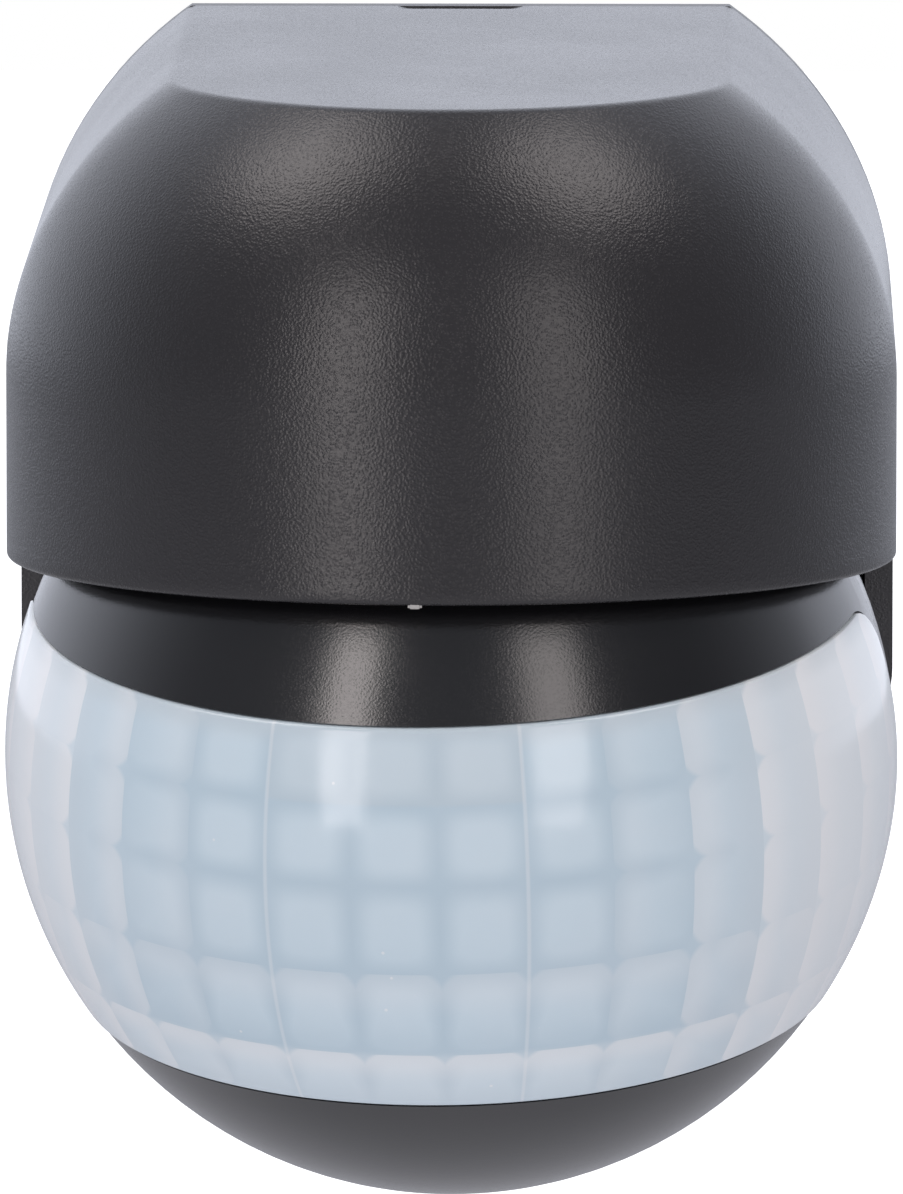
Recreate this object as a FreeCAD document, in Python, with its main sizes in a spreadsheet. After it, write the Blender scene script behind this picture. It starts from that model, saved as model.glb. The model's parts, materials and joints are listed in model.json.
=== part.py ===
"""Wall motion sensor: a ball-shaped detector head that hangs in an arched hood on a wall base.

Every piece is drawn about the centre of the ball, in millimetres, with +Z up, the wall at +Y and
the viewer at -Y. Its Placement then takes it to the frame of the part, whose origin lies on the
wall face, midway between the two wall fixing holes. The head and its swivel are placed at rest:
turned a little to the viewer's left and nodding down a little.
"""
import FreeCAD, Part
import os
import re
import Sketcher
from FreeCAD import Placement, Rotation, Vector

doc = FreeCAD.newDocument("MotionSensor")

# ---------------------------------------------------------------- driving dimensions
DIMENSIONS = (
    # name, millimetres or degrees, what it measures
    ("wall_reach", 40.0, "ball centre to the wall face"),
    ("fixing_rise", 29.0, "ball centre up to the wall fixing holes"),
    ("fixing_offset", 27.0, "middle of the base to a fixing hole"),
    ("fixing_radius", 2.2, "radius of a wall fixing hole"),
    ("hood_radius", 36.0, "radius of the hood's round front, and half its width"),
    ("hood_bottom", 16.0, "ball centre up to the hood's lower edge"),
    ("hood_rise", 41.6, "height of the hood at the wall"),
    ("arch_centre", 16.4, "hood's lower edge up to the middle of its arch"),
    ("arch_height", 32.2, "upright half axis of the arch's ellipse"),
    ("roof_slope", 3.0, "fall of the roof towards the front, degrees"),
    ("dome_start", 15.0, "hood's lower edge up to where the front starts to curve in"),
    ("dome_radius", 31.0, "radius of the front's inward curve"),
    ("hood_wall", 2.0, "thickness of the hood"),
    ("hood_edge", 0.7, "rounding of the hood's roof edges"),
    ("plate_depth", 1.6, "thickness of the wall base's plate"),
    ("apron_drop", 4.0, "ball centre down to the foot of the base"),
    ("apron_depth", 17.0, "depth of the base's side aprons"),
    ("apron_wall", 2.3, "thickness of the aprons"),
    ("apron_corner", 8.0, "rounding of the base's lower corners"),
    ("ball_gap", 1.4, "clearance kept round the turning ball"),
    ("head_radius", 36.0, "outer radius of the ball's black shells"),
    ("shell_wall", 2.4, "thickness of the ball's shells"),
    ("head_top", 26.75, "ball centre up to the flat top of the ball"),
    ("head_split", 3.0, "joint between front and rear shell, behind the centre"),
    ("lens_radius", 36.2, "outer radius of the lens"),
    ("lens_wall", 1.2, "thickness of the lens"),
    ("lens_top", 13.2, "upper edge of the lens above the centre"),
    ("lens_bottom", 19.6, "lower edge of the lens below the centre"),
    ("lens_side", 1.8, "side edge of the lens behind the centre"),
    ("lens_corner", 5.5, "rounding of the lens's corners"),
    ("lens_ledge", 1.2, "width of the ledge that carries the lens"),
    ("lens_gap", 0.12, "gap round the lens"),
    ("pin_radius", 2.0, "radius of the tilt pin"),
    ("running_fit", 0.06, "radial clearance of the turning fits"),
    ("tongue_half", 3.5, "half width of the yoke's tongue"),
    ("tongue_radius", 5.0, "half depth of the tongue, and rounding of its end"),
    ("disc_radius", 10.0, "radius of the yoke's disc"),
    ("disc_base", 33.0, "ball centre up to the underside of the disc"),
    ("disc_depth", 2.0, "thickness of the disc"),
    ("spigot_radius", 6.0, "radius of the yoke's hollow spigot"),
    ("spigot_bore", 3.5, "radius of the bore in the spigot"),
    ("spigot_top", 44.0, "ball centre up to the end of the spigot"),
    ("shelf_gap", 0.2, "gap between the shelf and what turns against it"),
    ("shelf_depth", 2.4, "thickness of the bracket's shelf"),
    ("shelf_radius", 13.0, "radius of the shelf's round end, and half its width"),
    ("bracket_screw_offset", 8.0, "middle of the bracket to one of its screws"),
    ("board_depth", 1.6, "thickness of a circuit board"),
    ("board_back", 7.6, "ball centre back to the rear face of the power board"),
    ("control_lean", 40.0, "lean of the control panel from straight down to the back, degrees"),
    ("panel_reach", 33.3, "ball centre to the face of the control panel"),
    ("panel_wall", 2.2, "thickness of the shell at the control panel"),
    ("knob_pitch", 8.5, "distance between two knobs"),
    ("knob_radius", 3.0, "radius of a knob"),
    ("rest_pan", -6.2, "turn of the head at rest, degrees"),
    ("rest_nod", 11.5, "nod of the head at rest, degrees"),
)

sheet = doc.addObject("Spreadsheet::Sheet", "dims")
for line, (alias, amount, note) in enumerate(DIMENSIONS, start=1):
    sheet.set(f"A{line}", alias)
    sheet.set(f"B{line}", str(amount))
    sheet.set(f"C{line}", note)
    sheet.setAlias(f"B{line}", alias)
doc.recompute()
ALIASES = {alias for alias, amount, note in DIMENSIONS}


# ---------------------------------------------------------------- drawing helpers
def formula(text):
    """The text with the sheet's name put before each dimension in it."""
    return re.sub(r"[a-z_]+", lambda word: ("dims." if word.group() in ALIASES else "") + word.group(),
                  str(text))


def size(text):
    """The number that a formula gives."""
    return float(sheet.evalExpression(formula(text)))


def bind(item, **sizes):
    """Tie the item's properties to formulas."""
    for name, text in sizes.items():
        item.setExpression(name, formula(text))
    return item


def place(item, x=0, y=0, z=0):
    """Tie the item's base point to formulas."""
    for axis, text in zip("xyz", (x, y, z)):
        item.setExpression("Placement.Base." + axis, formula(text))
    return item


def box(name, x, y, z):
    """A block; x, y and z are its (low, high) ends."""
    item = doc.addObject("Part::Box", name)
    for side, (low, high) in zip(("Length", "Width", "Height"), (x, y, z)):
        item.setExpression(side, formula(f"({high}) - ({low})"))
    return place(item, x[0], y[0], z[0])


TURN_TO = {
    "x": Rotation(Vector(0, 1, 0), 90),
    "y": Rotation(Vector(1, 0, 0), -90),
    "z": Rotation(),
}


def along(item, axis, start, middle):
    """Lay a round primitive along an axis: start is its low end, middle the other two coordinates."""
    item.Placement = Placement(Vector(), TURN_TO[axis])
    first, second = middle
    points = {"x": (start, first, second), "y": (first, start, second), "z": (first, second, start)}
    return place(item, *points[axis])


def rod(name, axis, radius, ends, middle=(0, 0)):
    """A round bar along an axis between two ends."""
    item = doc.addObject("Part::Cylinder", name)
    bind(item, Radius=radius, Height=f"({ends[1]}) - ({ends[0]})")
    return along(item, axis, ends[0], middle)


def taper(name, axis, radii, ends, middle=(0, 0)):
    """A cone along an axis between two ends."""
    item = doc.addObject("Part::Cone", name)
    bind(item, Radius1=radii[0], Radius2=radii[1], Height=f"({ends[1]}) - ({ends[0]})")
    return along(item, axis, ends[0], middle)


def ball(name, radius):
    """A full sphere about the ball's centre."""
    return bind(doc.addObject("Part::Sphere", name), Radius=radius)


def fuse(name, *items):
    """All the items joined into one."""
    item = doc.addObject("Part::MultiFuse", name)
    item.Shapes = list(items)
    item.Refine = True
    return item


def common(name, *items):
    """The space that all the items share."""
    item = doc.addObject("Part::MultiCommon", name)
    item.Shapes = list(items)
    return item


def cut(name, base, *tools):
    """The base with every tool taken out of it."""
    item = doc.addObject("Part::Cut", name)
    item.Base = base
    item.Tool = tools[0] if len(tools) == 1 else fuse(name + "_tools", *tools)
    return item


def group(name, items):
    """Separate solids kept together as one sub-part."""
    item = doc.addObject("Part::Compound", name)
    item.Links = list(items)
    return item


def rounded_bar(name, axis, ends, flat, z, corner):
    """A bar along x or y whose section has four rounded corners; flat is its other level extent."""
    low, high = flat
    bottom, top = z

    def piece(label, width, height):
        if axis == "x":
            return box(label, ends, width, height)
        return box(label, width, ends, height)

    pieces = [
        piece(name + "_wide", (low, high), (f"{bottom} + {corner}", f"{top} - ({corner})")),
        piece(name + "_tall", (f"{low} + {corner}", f"{high} - ({corner})"), (bottom, top)),
    ]
    for number, (across, up) in enumerate(((f"{low} + {corner}", f"{bottom} + {corner}"),
                                           (f"{high} - ({corner})", f"{bottom} + {corner}"),
                                           (f"{low} + {corner}", f"{top} - ({corner})"),
                                           (f"{high} - ({corner})", f"{top} - ({corner})"))):
        pieces.append(rod(f"{name}_corner{number}", axis, corner, ends, (across, up)))
    return fuse(name, *pieces)


def screw(name, axis, middle, seat, head, shank, recess=0.6):
    """A pan head screw. seat: where the head sits; head and shank: (radius, signed length)."""
    def span(start, length):
        return (start, start + length) if length > 0 else (start + length, start)

    top = rod(name + "_head", axis, head[0], span(seat, head[1]), middle)
    stem = rod(name + "_shank", axis, shank[0], span(seat, shank[1]), middle)
    blank = fuse(name + "_blank", top, stem)
    outer = seat + head[1]
    deep = span(outer, -0.6 * head[1])
    arm = 0.75 * head[0]
    thin = recess / 2
    slots = []
    for label, (one, other) in (("a", (arm, thin)), ("b", (thin, arm))):
        first = (f"{middle[0]} - {one}", f"{middle[0]} + {one}")
        second = (f"{middle[1]} - {other}", f"{middle[1]} + {other}")
        extents = {"x": (deep, first, second), "y": (first, deep, second), "z": (first, second, deep)}
        slots.append(box(f"{name}_slot_{label}", *extents[axis]))
    return cut(name, blank, *slots)


# ---------------------------------------------------------------- body helpers
def new_body(name):
    """An empty body."""
    return doc.addObject("PartDesign::Body", name)


def sketch_on(body, name, role, offset=0):
    """A sketch on one of the body's origin planes, moved along the plane's normal."""
    plane = [feature for feature in body.Origin.OriginFeatures if feature.Role == role][0]
    item = body.newObject("Sketcher::SketchObject", name)
    item.AttachmentSupport = [(plane, "")]
    item.MapMode = "FlatFace"
    item.setExpression("AttachmentOffset.Base.z", formula(offset))
    return item


def pin_point(sketch, geometry, point, x=None, y=None):
    """Hold a point of the sketch at the coordinates that are given."""
    for kind, axis, text in (("DistanceX", -2, x), ("DistanceY", -1, y)):
        if text is None:
            continue
        if abs(size(text)) < 1e-9:
            sketch.addConstraint(Sketcher.Constraint("PointOnObject", geometry, point, axis))
            continue
        number = sketch.addConstraint(
            Sketcher.Constraint(kind, -1, 1, geometry, point, size(text)))
        sketch.setExpression(f"Constraints[{number}]", formula(text))


def draw_circle(sketch, radius, x=0, y=0):
    """A circle, held by its middle and its radius."""
    middle = Vector(size(x), size(y), 0)
    number = sketch.addGeometry(Part.Circle(middle, Vector(0, 0, 1), size(radius)), False)
    pin_point(sketch, number, 3, x, y)
    held = sketch.addConstraint(Sketcher.Constraint("Radius", number, size(radius)))
    sketch.setExpression(f"Constraints[{held}]", formula(radius))


def draw_outline(sketch, corners):
    """A closed run of straight sides through the corners."""
    points = [Vector(size(x), size(y), 0) for x, y in corners]
    sides = []
    for number, start in enumerate(points):
        end = points[(number + 1) % len(points)]
        sides.append(sketch.addGeometry(Part.LineSegment(start, end), False))
    for number, side in enumerate(sides):
        following = sides[(number + 1) % len(sides)]
        sketch.addConstraint(Sketcher.Constraint("Coincident", side, 2, following, 1))
        pin_point(sketch, side, 1, *corners[number])


def draw_rectangle(sketch, x, y):
    """A rectangle between its (low, high) ends."""
    draw_outline(sketch, ((x[0], y[0]), (x[1], y[0]), (x[1], y[1]), (x[0], y[1])))


def pad(body, sketch, length, both_ways=False, reverse=False):
    """Material over the sketch."""
    item = body.newObject("PartDesign::Pad", sketch.Name + "_pad")
    item.Profile = sketch
    item.Midplane = both_ways
    item.Reversed = reverse
    return bind(item, Length=length)


def pocket(body, sketch, length=None, both_ways=False, reverse=False):
    """A hole over the sketch; right through where no length is given."""
    item = body.newObject("PartDesign::Pocket", sketch.Name + "_pocket")
    item.Profile = sketch
    item.Midplane = both_ways
    item.Reversed = reverse
    if length is None:
        item.Type = 1
    else:
        bind(item, Length=length)
    return item


NODES = []


def keep(item, label, frame):
    """Name a finished sub-part, and note the frame that it belongs to."""
    item.Label = label
    NODES.append((item, label, frame))
    return item


BOTH = (-1, 1)


# ---------------------------------------------------------------- hood and wall base
def arch_bar(name, inset):
    """A long bar with the hood's section: upright sides under a flat-topped elliptical arch."""
    ellipse = doc.addObject("Part::Ellipse", name + "_ellipse")
    bind(ellipse, MajorRadius=f"hood_radius - {inset}", MinorRadius=f"arch_height - {inset}")
    ellipse.Placement = Placement(Vector(0, 5, 0), Rotation(Vector(1, 0, 0), 90))
    tube = doc.addObject("Part::Extrusion", name + "_tube")
    tube.Base = ellipse
    tube.DirMode = "Custom"
    tube.Dir = Vector(0, -1, 0)
    tube.LengthFwd = 95
    tube.Solid = True
    half = f"hood_radius - {inset}"
    sides = box(name + "_sides", (f"-({half})", half), (-90, 5), (-60, 0))
    limit = box(name + "_limit", (-50, 50), (-90, 5),
                (-60, f"hood_rise - arch_centre - {inset}"))
    bar = common(name, fuse(name + "_round", tube, sides), limit)
    bar.Placement = Placement(Vector(0, size("wall_reach"), size("hood_bottom + arch_centre")),
                              Rotation(Vector(1, 0, 0), size("roof_slope")))
    return bar


def dome(name, inset, foot):
    """The round front: upright at first, then curving in towards the roof."""
    radius = f"hood_radius - {inset}"
    curve = f"dome_radius - {inset}"
    start = "hood_bottom + dome_start"
    drum = rod(name + "_drum", "z", radius, (foot, start))
    section = Part.Circle(Vector(size("hood_radius - dome_radius"), 0, size(start)),
                          Vector(0, -1, 0), size(curve))
    crown = section.Center + Vector(0, 0, size(curve))
    arc = Part.Arc(section.Center + Vector(size(curve), 0, 0),
                   section.Center + Vector(1, 0, 1) * (size(curve) / 2 ** 0.5), crown)
    axis_low = Vector(0, 0, size(start))
    axis_high = Vector(0, 0, crown.z)
    wire = Part.Wire([arc.toShape(), Part.makeLine(crown, axis_high),
                      Part.makeLine(axis_high, axis_low),
                      Part.makeLine(axis_low, section.Center + Vector(size(curve), 0, 0))])
    cap = doc.addObject("Part::Feature", name + "_cap")
    cap.Shape = Part.Face(wire).revolve(Vector(), Vector(0, 0, 1), 360)
    return fuse(name, drum, cap)


def hood_form(name, inset, foot, back):
    """The whole hood as one block: the arch behind the ball's axis, the dome in front of it."""
    rear = box(name + "_rear", (-50, 50), (0, back), (foot, 80))
    return common(name, arch_bar(name + "_bar", inset),
                  fuse(name + "_plan", dome(name + "_dome", inset, foot), rear))


def on_roof(point):
    """Whether a point lies in the hood's roof plane."""
    lean = Rotation(Vector(1, 0, 0), size("roof_slope"))
    normal = lean.multVec(Vector(0, 0, 1))
    base = Vector(0, size("wall_reach"), size("hood_bottom + arch_centre"))
    level = normal.dot(point - base) - size("hood_rise - arch_centre")
    return abs(level) < 1e-4


def build_hood():
    """The hood: a deep arched cover, open below and at the wall."""
    block = hood_form("hood_block", 0, "hood_bottom", "wall_reach - plate_depth")
    doc.recompute()
    rounded = doc.addObject("Part::Fillet", "hood_rounded")
    rounded.Base = block
    radius = size("hood_edge")
    back = size("wall_reach - plate_depth")
    chosen = []
    for number, edge in enumerate(block.Shape.Edges, start=1):
        on_top = all(on_roof(vertex.Point) for vertex in edge.Vertexes)
        at_back = all(abs(vertex.Point.y - back) < 1e-4 for vertex in edge.Vertexes)
        if on_top and not at_back:
            chosen.append((number, radius, radius))
    rounded.Edges = chosen
    hollow = hood_form("hood_hollow", "hood_wall", "hood_bottom - 1", "wall_reach + 1")
    shell = cut("hood_shell", rounded, hollow)
    bosses = []
    holes = []
    for side in BOTH:
        tag = "left" if side < 0 else "right"
        middle = (28 * side, 31)
        bosses.append(rod(f"hood_boss_{tag}", "z", 3, (18.5, 27), middle))
        outer = sorted((28 * side, 34.5 * side))
        bosses.append(box(f"hood_web_{tag}", outer, (29.5, 31.5), (18.5, 27)))
        holes.append(rod(f"hood_boss_hole_{tag}", "z", 1.25, (18, 25.6), middle))
    notch = box("hood_notch", (-4.5, 4.5), ("wall_reach - plate_depth - 1.6", "wall_reach"),
                ("hood_bottom + hood_rise - 0.65", 80))
    keep(cut("hood", fuse("hood_bossed", shell, *bosses), notch, *holes), "hood", "base")


def back_prism(name, inset, ends):
    """The outline of the wall base, from its foot to the hood's roof, as a flat block."""
    upper = common(name + "_upper", arch_bar(name + "_bar", inset),
                   box(name + "_span", (-50, 50), ends, ("hood_bottom", 80)))
    lower = rounded_bar(name + "_lower", "y", ends,
                        (f"-(hood_radius - {inset})", f"(hood_radius - {inset})"),
                        (f"(-apron_drop + {inset})", "(hood_bottom + apron_corner)"),
                        f"(apron_corner - {inset})")
    return fuse(name, upper, lower)


def build_wall_base():
    """The wall base: back plate, hood rim, side aprons, and seats for all that it carries."""
    front = "wall_reach - plate_depth"
    plate = back_prism("base_plate", 0, (front, "wall_reach"))
    rim_outer = common("base_rim_outer", arch_bar("base_rim_bar", "hood_wall - 0.6"),
                       box("base_rim_span", (-50, 50), ("wall_reach - 8", front), (16.5, 80)))
    rim_inner = common("base_rim_inner", arch_bar("base_rim_core", "hood_wall - 2.2"),
                       box("base_rim_well", (-50, 50), ("wall_reach - 9", front), (10, 80)))
    rim = cut("base_rim", rim_outer, rim_inner)
    sides = rounded_bar("base_sides", "y", ("wall_reach - apron_depth", front),
                        ("-hood_radius", "hood_radius"), ("-apron_drop", 40), "apron_corner")
    side_limit = rounded_bar("base_side_limit", "x", (-50, 50),
                             ("wall_reach - apron_depth", 80), ("-apron_drop", 80), 6)
    side_top = box("base_side_top", (-50, 50), (0, 50), (-20, "hood_bottom - 0.2"))
    aprons = common("base_aprons", sides, side_limit, side_top)
    well = rounded_bar("base_well", "y", (0, front),
                       ("-(hood_radius - apron_wall)", "(hood_radius - apron_wall)"),
                       ("(-apron_drop + apron_wall)", 60), 6)
    hollow = cut("base_apron_ring", aprons, well, ball("base_ball_space", "head_radius + ball_gap"))
    solids = [plate, rim, hollow]
    holes = []
    for side in BOTH:
        tag = "left" if side < 0 else "right"
        ear = sorted((24.5 * side, 33.6 * side))
        solids.append(box(f"base_ear_{tag}", ear, (27, front), (15.4, 18.3)))
        holes.append(rod(f"base_ear_hole_{tag}", "z", 1.6, (15, 19), (28 * side, 31)))
        at = (f"{side} * fixing_offset", "fixing_rise")
        solids.append(rod(f"base_fixing_boss_{tag}", "y", 4.6, (f"{front} - 1.5", front), at))
        holes.append(rod(f"base_fixing_hole_{tag}", "y", "fixing_radius", (30, 45), at))
        at = (f"{side} * bracket_screw_offset", "fixing_rise")
        solids.append(rod(f"base_bracket_boss_{tag}", "y", 3.4, (34, front), at))
        holes.append(rod(f"base_bracket_hole_{tag}", "y", 1.25, (33, 39.2), at))
    solids.append(rod("base_gland_boss", "y", 8.8, (f"{front} - 1.6", front), (-18, 45)))
    holes.append(rod("base_gland_hole", "y", 5.5, (30, 45), (-18, 45)))
    holes.append(rod("base_gland_seat", "y", 7.6, (front, 45), (-18, 45)))
    groove = ("wall_reach - 0.8", "wall_reach + 1")
    holes.append(cut("base_groove", back_prism("base_groove_outer", 1.6, groove),
                     back_prism("base_groove_inner", 4.2, groove)))
    keep(cut("wall_base", fuse("base_solid", *solids), *holes), "wall_base", "base")


def build_wall_gasket():
    """The foam gasket in the back of the wall base."""
    ends = ("wall_reach - 0.8", "wall_reach")
    keep(cut("wall_gasket", back_prism("gasket_outer", 1.6, ends),
             back_prism("gasket_inner", 4.2, ends)), "wall_gasket", "base")


def build_cable_grommet():
    """The rubber grommet that the supply cable enters through from the wall."""
    at = (-18, 45)
    blank = fuse("grommet_blank",
                 rod("grommet_back", "y", 7.3, (38.4, 39.9), at),
                 rod("grommet_neck", "y", 5.5, (36.8, 38.4), at),
                 rod("grommet_flange", "y", 7.3, (35.4, 36.8), at),
                 taper("grommet_nose", "y", (5.4, 6.6), (32.4, 35.4), at))
    keep(cut("cable_grommet", blank, rod("grommet_bore", "y", 4.25, (30, 42), at)),
         "cable_grommet", "base")


def pole_places():
    """Where the three poles of the terminal block stand."""
    return [6.5 + 8.3 * step for step in (-1, 0, 1)]


def build_terminals():
    """The three-pole terminal block with its clamps and screws."""
    body = new_body("terminal_block")
    outline = sketch_on(body, "terminal_outline", "XY_Plane", 40)
    draw_rectangle(outline, (-6.5, 19.5), (24.4, "wall_reach - plate_depth"))
    pad(body, outline, 12)
    wells = sketch_on(body, "terminal_wells", "XZ_Plane", "-24.4")
    cells = sketch_on(body, "terminal_cells", "XZ_Plane", "-27")
    entries = sketch_on(body, "terminal_entries", "XY_Plane", 40)
    for x in pole_places():
        draw_circle(wells, 2.4, x, 46)
        draw_rectangle(cells, (x - 2.8, x + 2.8), (41.6, 50.4))
        draw_circle(entries, 1.9, x, 33.2)
    pocket(body, wells, 2.7, reverse=False)
    pocket(body, cells, 9, reverse=False)
    pocket(body, entries, 1.7, reverse=True)
    keep(body, "terminal_block", "base")
    clamps = []
    screws = []
    for number, x in enumerate(pole_places(), start=1):
        blank = box(f"clamp{number}_blank", (x - 2.6, x + 2.6), (27.2, 35.8), (42, 50))
        clamps.append(cut(f"clamp{number}", blank,
                          rod(f"clamp{number}_wire", "z", 2, (40, 52), (x, 33.4)),
                          rod(f"clamp{number}_thread", "y", 1.5, (27, 32), (x, 46))))
        screws.append(screw(f"terminal_screw{number}", "y", (x, 46), 27.2, (2.2, -2), (1.5, 4)))
    keep(group("terminal_clamps", clamps), "terminal_clamps", "base")
    keep(group("terminal_screws", screws), "terminal_screws", "base")


def build_bracket():
    """The bracket whose shelf carries the swivel, and the two screws that hold it."""
    under = "disc_base + disc_depth + shelf_gap"
    top = under + " + shelf_depth"
    body = new_body("swivel_bracket")
    shelf = sketch_on(body, "shelf_outline", "XY_Plane", under)
    draw_rectangle(shelf, ("-shelf_radius", "shelf_radius"), (0, 34))
    pad(body, shelf, "shelf_depth")
    nose = sketch_on(body, "shelf_nose", "XY_Plane", under)
    draw_circle(nose, "shelf_radius")
    pad(body, nose, "shelf_depth")
    flange = sketch_on(body, "flange_outline", "XZ_Plane", "-34")
    draw_rectangle(flange, ("-shelf_radius", "shelf_radius"), (24, top))
    pad(body, flange, 2.4)
    for side in BOTH:
        tag = "left" if side < 0 else "right"
        gusset = sketch_on(body, f"gusset_{tag}", "YZ_Plane", f"{side} * (shelf_radius - 1)")
        draw_outline(gusset, ((32, 25), (32, under), (20, under)))
        pad(body, gusset, 2, both_ways=True)
    bore = sketch_on(body, "shelf_bore", "XY_Plane", under)
    draw_circle(bore, "spigot_radius + running_fit")
    pocket(body, bore, "shelf_depth", reverse=True)
    holes = sketch_on(body, "flange_holes", "XZ_Plane", "-34")
    for side in BOTH:
        draw_circle(holes, 1.6, f"{side} * bracket_screw_offset", "fixing_rise")
    pocket(body, holes, 2.4, reverse=True)
    keep(body, "swivel_bracket", "base")
    screws = [screw(f"bracket_screw{number}", "y", (f"{side} * bracket_screw_offset", "fixing_rise"),
                    31.6, (2.4, -1.8), (1.25, 7.4))
              for number, side in enumerate(BOTH, start=1)]
    keep(group("bracket_screws", screws), "bracket_screws", "base")
    screws = [screw(f"hood_screw{number}", "z", (28 * side, 31), 15.4, (2.6, -2), (1.25, 10))
              for number, side in enumerate(BOTH, start=1)]
    keep(group("hood_screws", screws), "hood_screws", "base")


# ---------------------------------------------------------------- swivel, turns in the shelf
def build_swivel():
    """The yoke with its hollow spigot, and the washer and nut that keep it in the shelf."""
    body = new_body("swivel_yoke")
    disc = sketch_on(body, "yoke_disc", "XY_Plane", "disc_base")
    draw_circle(disc, "disc_radius")
    pad(body, disc, "disc_depth")
    spigot = sketch_on(body, "yoke_spigot", "XY_Plane", "disc_base + disc_depth")
    draw_circle(spigot, "spigot_radius")
    pad(body, spigot, "spigot_top - disc_base - disc_depth")
    tongue = sketch_on(body, "yoke_tongue", "YZ_Plane")
    draw_rectangle(tongue, ("-tongue_radius", "tongue_radius"), (0, "disc_base"))
    pad(body, tongue, "2 * tongue_half", both_ways=True)
    eye = sketch_on(body, "yoke_eye", "YZ_Plane")
    draw_circle(eye, "tongue_radius")
    pad(body, eye, "2 * tongue_half", both_ways=True)
    bore = sketch_on(body, "yoke_bore", "XY_Plane", "spigot_top")
    draw_circle(bore, "spigot_bore")
    pocket(body, bore, "spigot_top - disc_base + 3")
    groove = sketch_on(body, "yoke_groove", "XY_Plane", "disc_base")
    draw_rectangle(groove, (-1.6, 1.6), (1.8, "tongue_radius + 1"))
    pocket(body, groove, 22)
    pin_hole = sketch_on(body, "yoke_pin_hole", "YZ_Plane")
    draw_circle(pin_hole, "pin_radius + running_fit")
    pocket(body, pin_hole, "2 * tongue_half + 2", both_ways=True)
    keep(body, "swivel_yoke", "swivel")

    washer_low = "disc_base + disc_depth + 2 * shelf_gap + shelf_depth"
    washer = new_body("swivel_washer")
    ring = sketch_on(washer, "washer_ring", "XY_Plane", washer_low)
    draw_circle(ring, 10)
    draw_circle(ring, "spigot_radius + 0.2")
    pad(washer, ring, 0.6)
    keep(washer, "swivel_washer", "swivel")

    nut = new_body("swivel_nut")
    across = "9.5"
    hexagon = sketch_on(nut, "nut_hexagon", "XY_Plane", washer_low + " + 0.6")
    tall = f"{across} * 2 / sqrt(3)"
    draw_outline(hexagon, ((across, f"-{tall} / 2"), (across, f"{tall} / 2"), (0, tall),
                           (f"-{across}", f"{tall} / 2"), (f"-{across}", f"-{tall} / 2"),
                           (0, f"-({tall})")))
    draw_circle(hexagon, "spigot_radius")
    pad(nut, hexagon, 4)
    keep(nut, "swivel_nut", "swivel")


# ---------------------------------------------------------------- head, nods on the tilt pin
CASE_SCREWS = [(25.4, 17.1), (-25.4, 17.1), (19.7, -23.4), (-19.7, -23.4)]
BOARD_POSTS = [(21.2, 9.0), (-21.2, 9.0), (21.0, -14.5), (-21.0, -14.5)]
SPACERS = [(17.0, 8.5), (-17.0, 8.5), (17.0, -12.0), (-17.0, -12.0)]
PANEL_TURN = Rotation(Vector(1, 0, 0), size("control_lean"))


def panel_block(name, reach):
    """All space on the inner side of a plane that faces down and back, as the control panel does."""
    item = box(name, (-60, 60), (-60, 60), (f"-({reach})", 60))
    turned = group(name + "_turned", [item])
    turned.Placement = Placement(Vector(), PANEL_TURN)
    return turned


def head_form(name):
    """The hollow ball: flat on top, with a flat panel low at the back."""
    outside = common(name + "_outside", ball(name + "_outer", "head_radius"),
                     box(name + "_top", (-50, 50), (-50, 50), (-50, "head_top")),
                     panel_block(name + "_panel", "panel_reach"))
    inside = common(name + "_inside", ball(name + "_inner", "head_radius - shell_wall"),
                    box(name + "_ceiling", (-50, 50), (-50, 50), (-50, "head_top - 2")),
                    panel_block(name + "_panel_inner", "panel_reach - panel_wall"))
    return outside, cut(name, outside, inside)


def lens_window(name, grow):
    """The lens's outline, seen from the side, as a bar right through the head."""
    return rounded_bar(name, "x", (-50, 50), (-70, f"(lens_side + {grow})"),
                       (f"(-lens_bottom - {grow})", f"(lens_top + {grow})"),
                       f"(lens_corner + {grow})")


def build_lens():
    """The lens: a thin curved band with rounded ends."""
    shell = cut("lens_shell", ball("lens_outer", "lens_radius"),
                ball("lens_inner", "lens_radius - lens_wall"))
    keep(common("lens", shell, lens_window("lens_bar", 0)), "lens", "head")


def build_front_shell():
    """The front shell: cap and bowl joined by a thin pillar at each side of the lens."""
    outside, hollow = head_form("front_form")
    half = common("front_half", hollow, box("front_side", (-50, 50), (-50, "head_split"), (-50, 50)))
    seat = cut("front_lens_seat", lens_window("front_seat_bar", "lens_gap"),
               ball("front_seat_core", "lens_radius - lens_wall"))
    opening = lens_window("front_opening", "(0 - lens_ledge)")
    notch = box("front_notch", (-6.4, 6.4), (-8.5, 4), (18, 30))
    bosses = []
    holes = []
    for number, (x, z) in enumerate(CASE_SCREWS, start=1):
        bosses.append(rod(f"front_boss{number}", "y", 3.25, (-8, "head_split"), (x, z)))
        holes.append(rod(f"front_boss_hole{number}", "y", 1.25, (-6, 4), (x, z)))
    open_half = cut("front_open", half, seat, opening, notch)
    keep(cut("head_front_shell", fuse("front_bossed", open_half, *bosses), *holes),
         "head_front_shell", "head")


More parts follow.
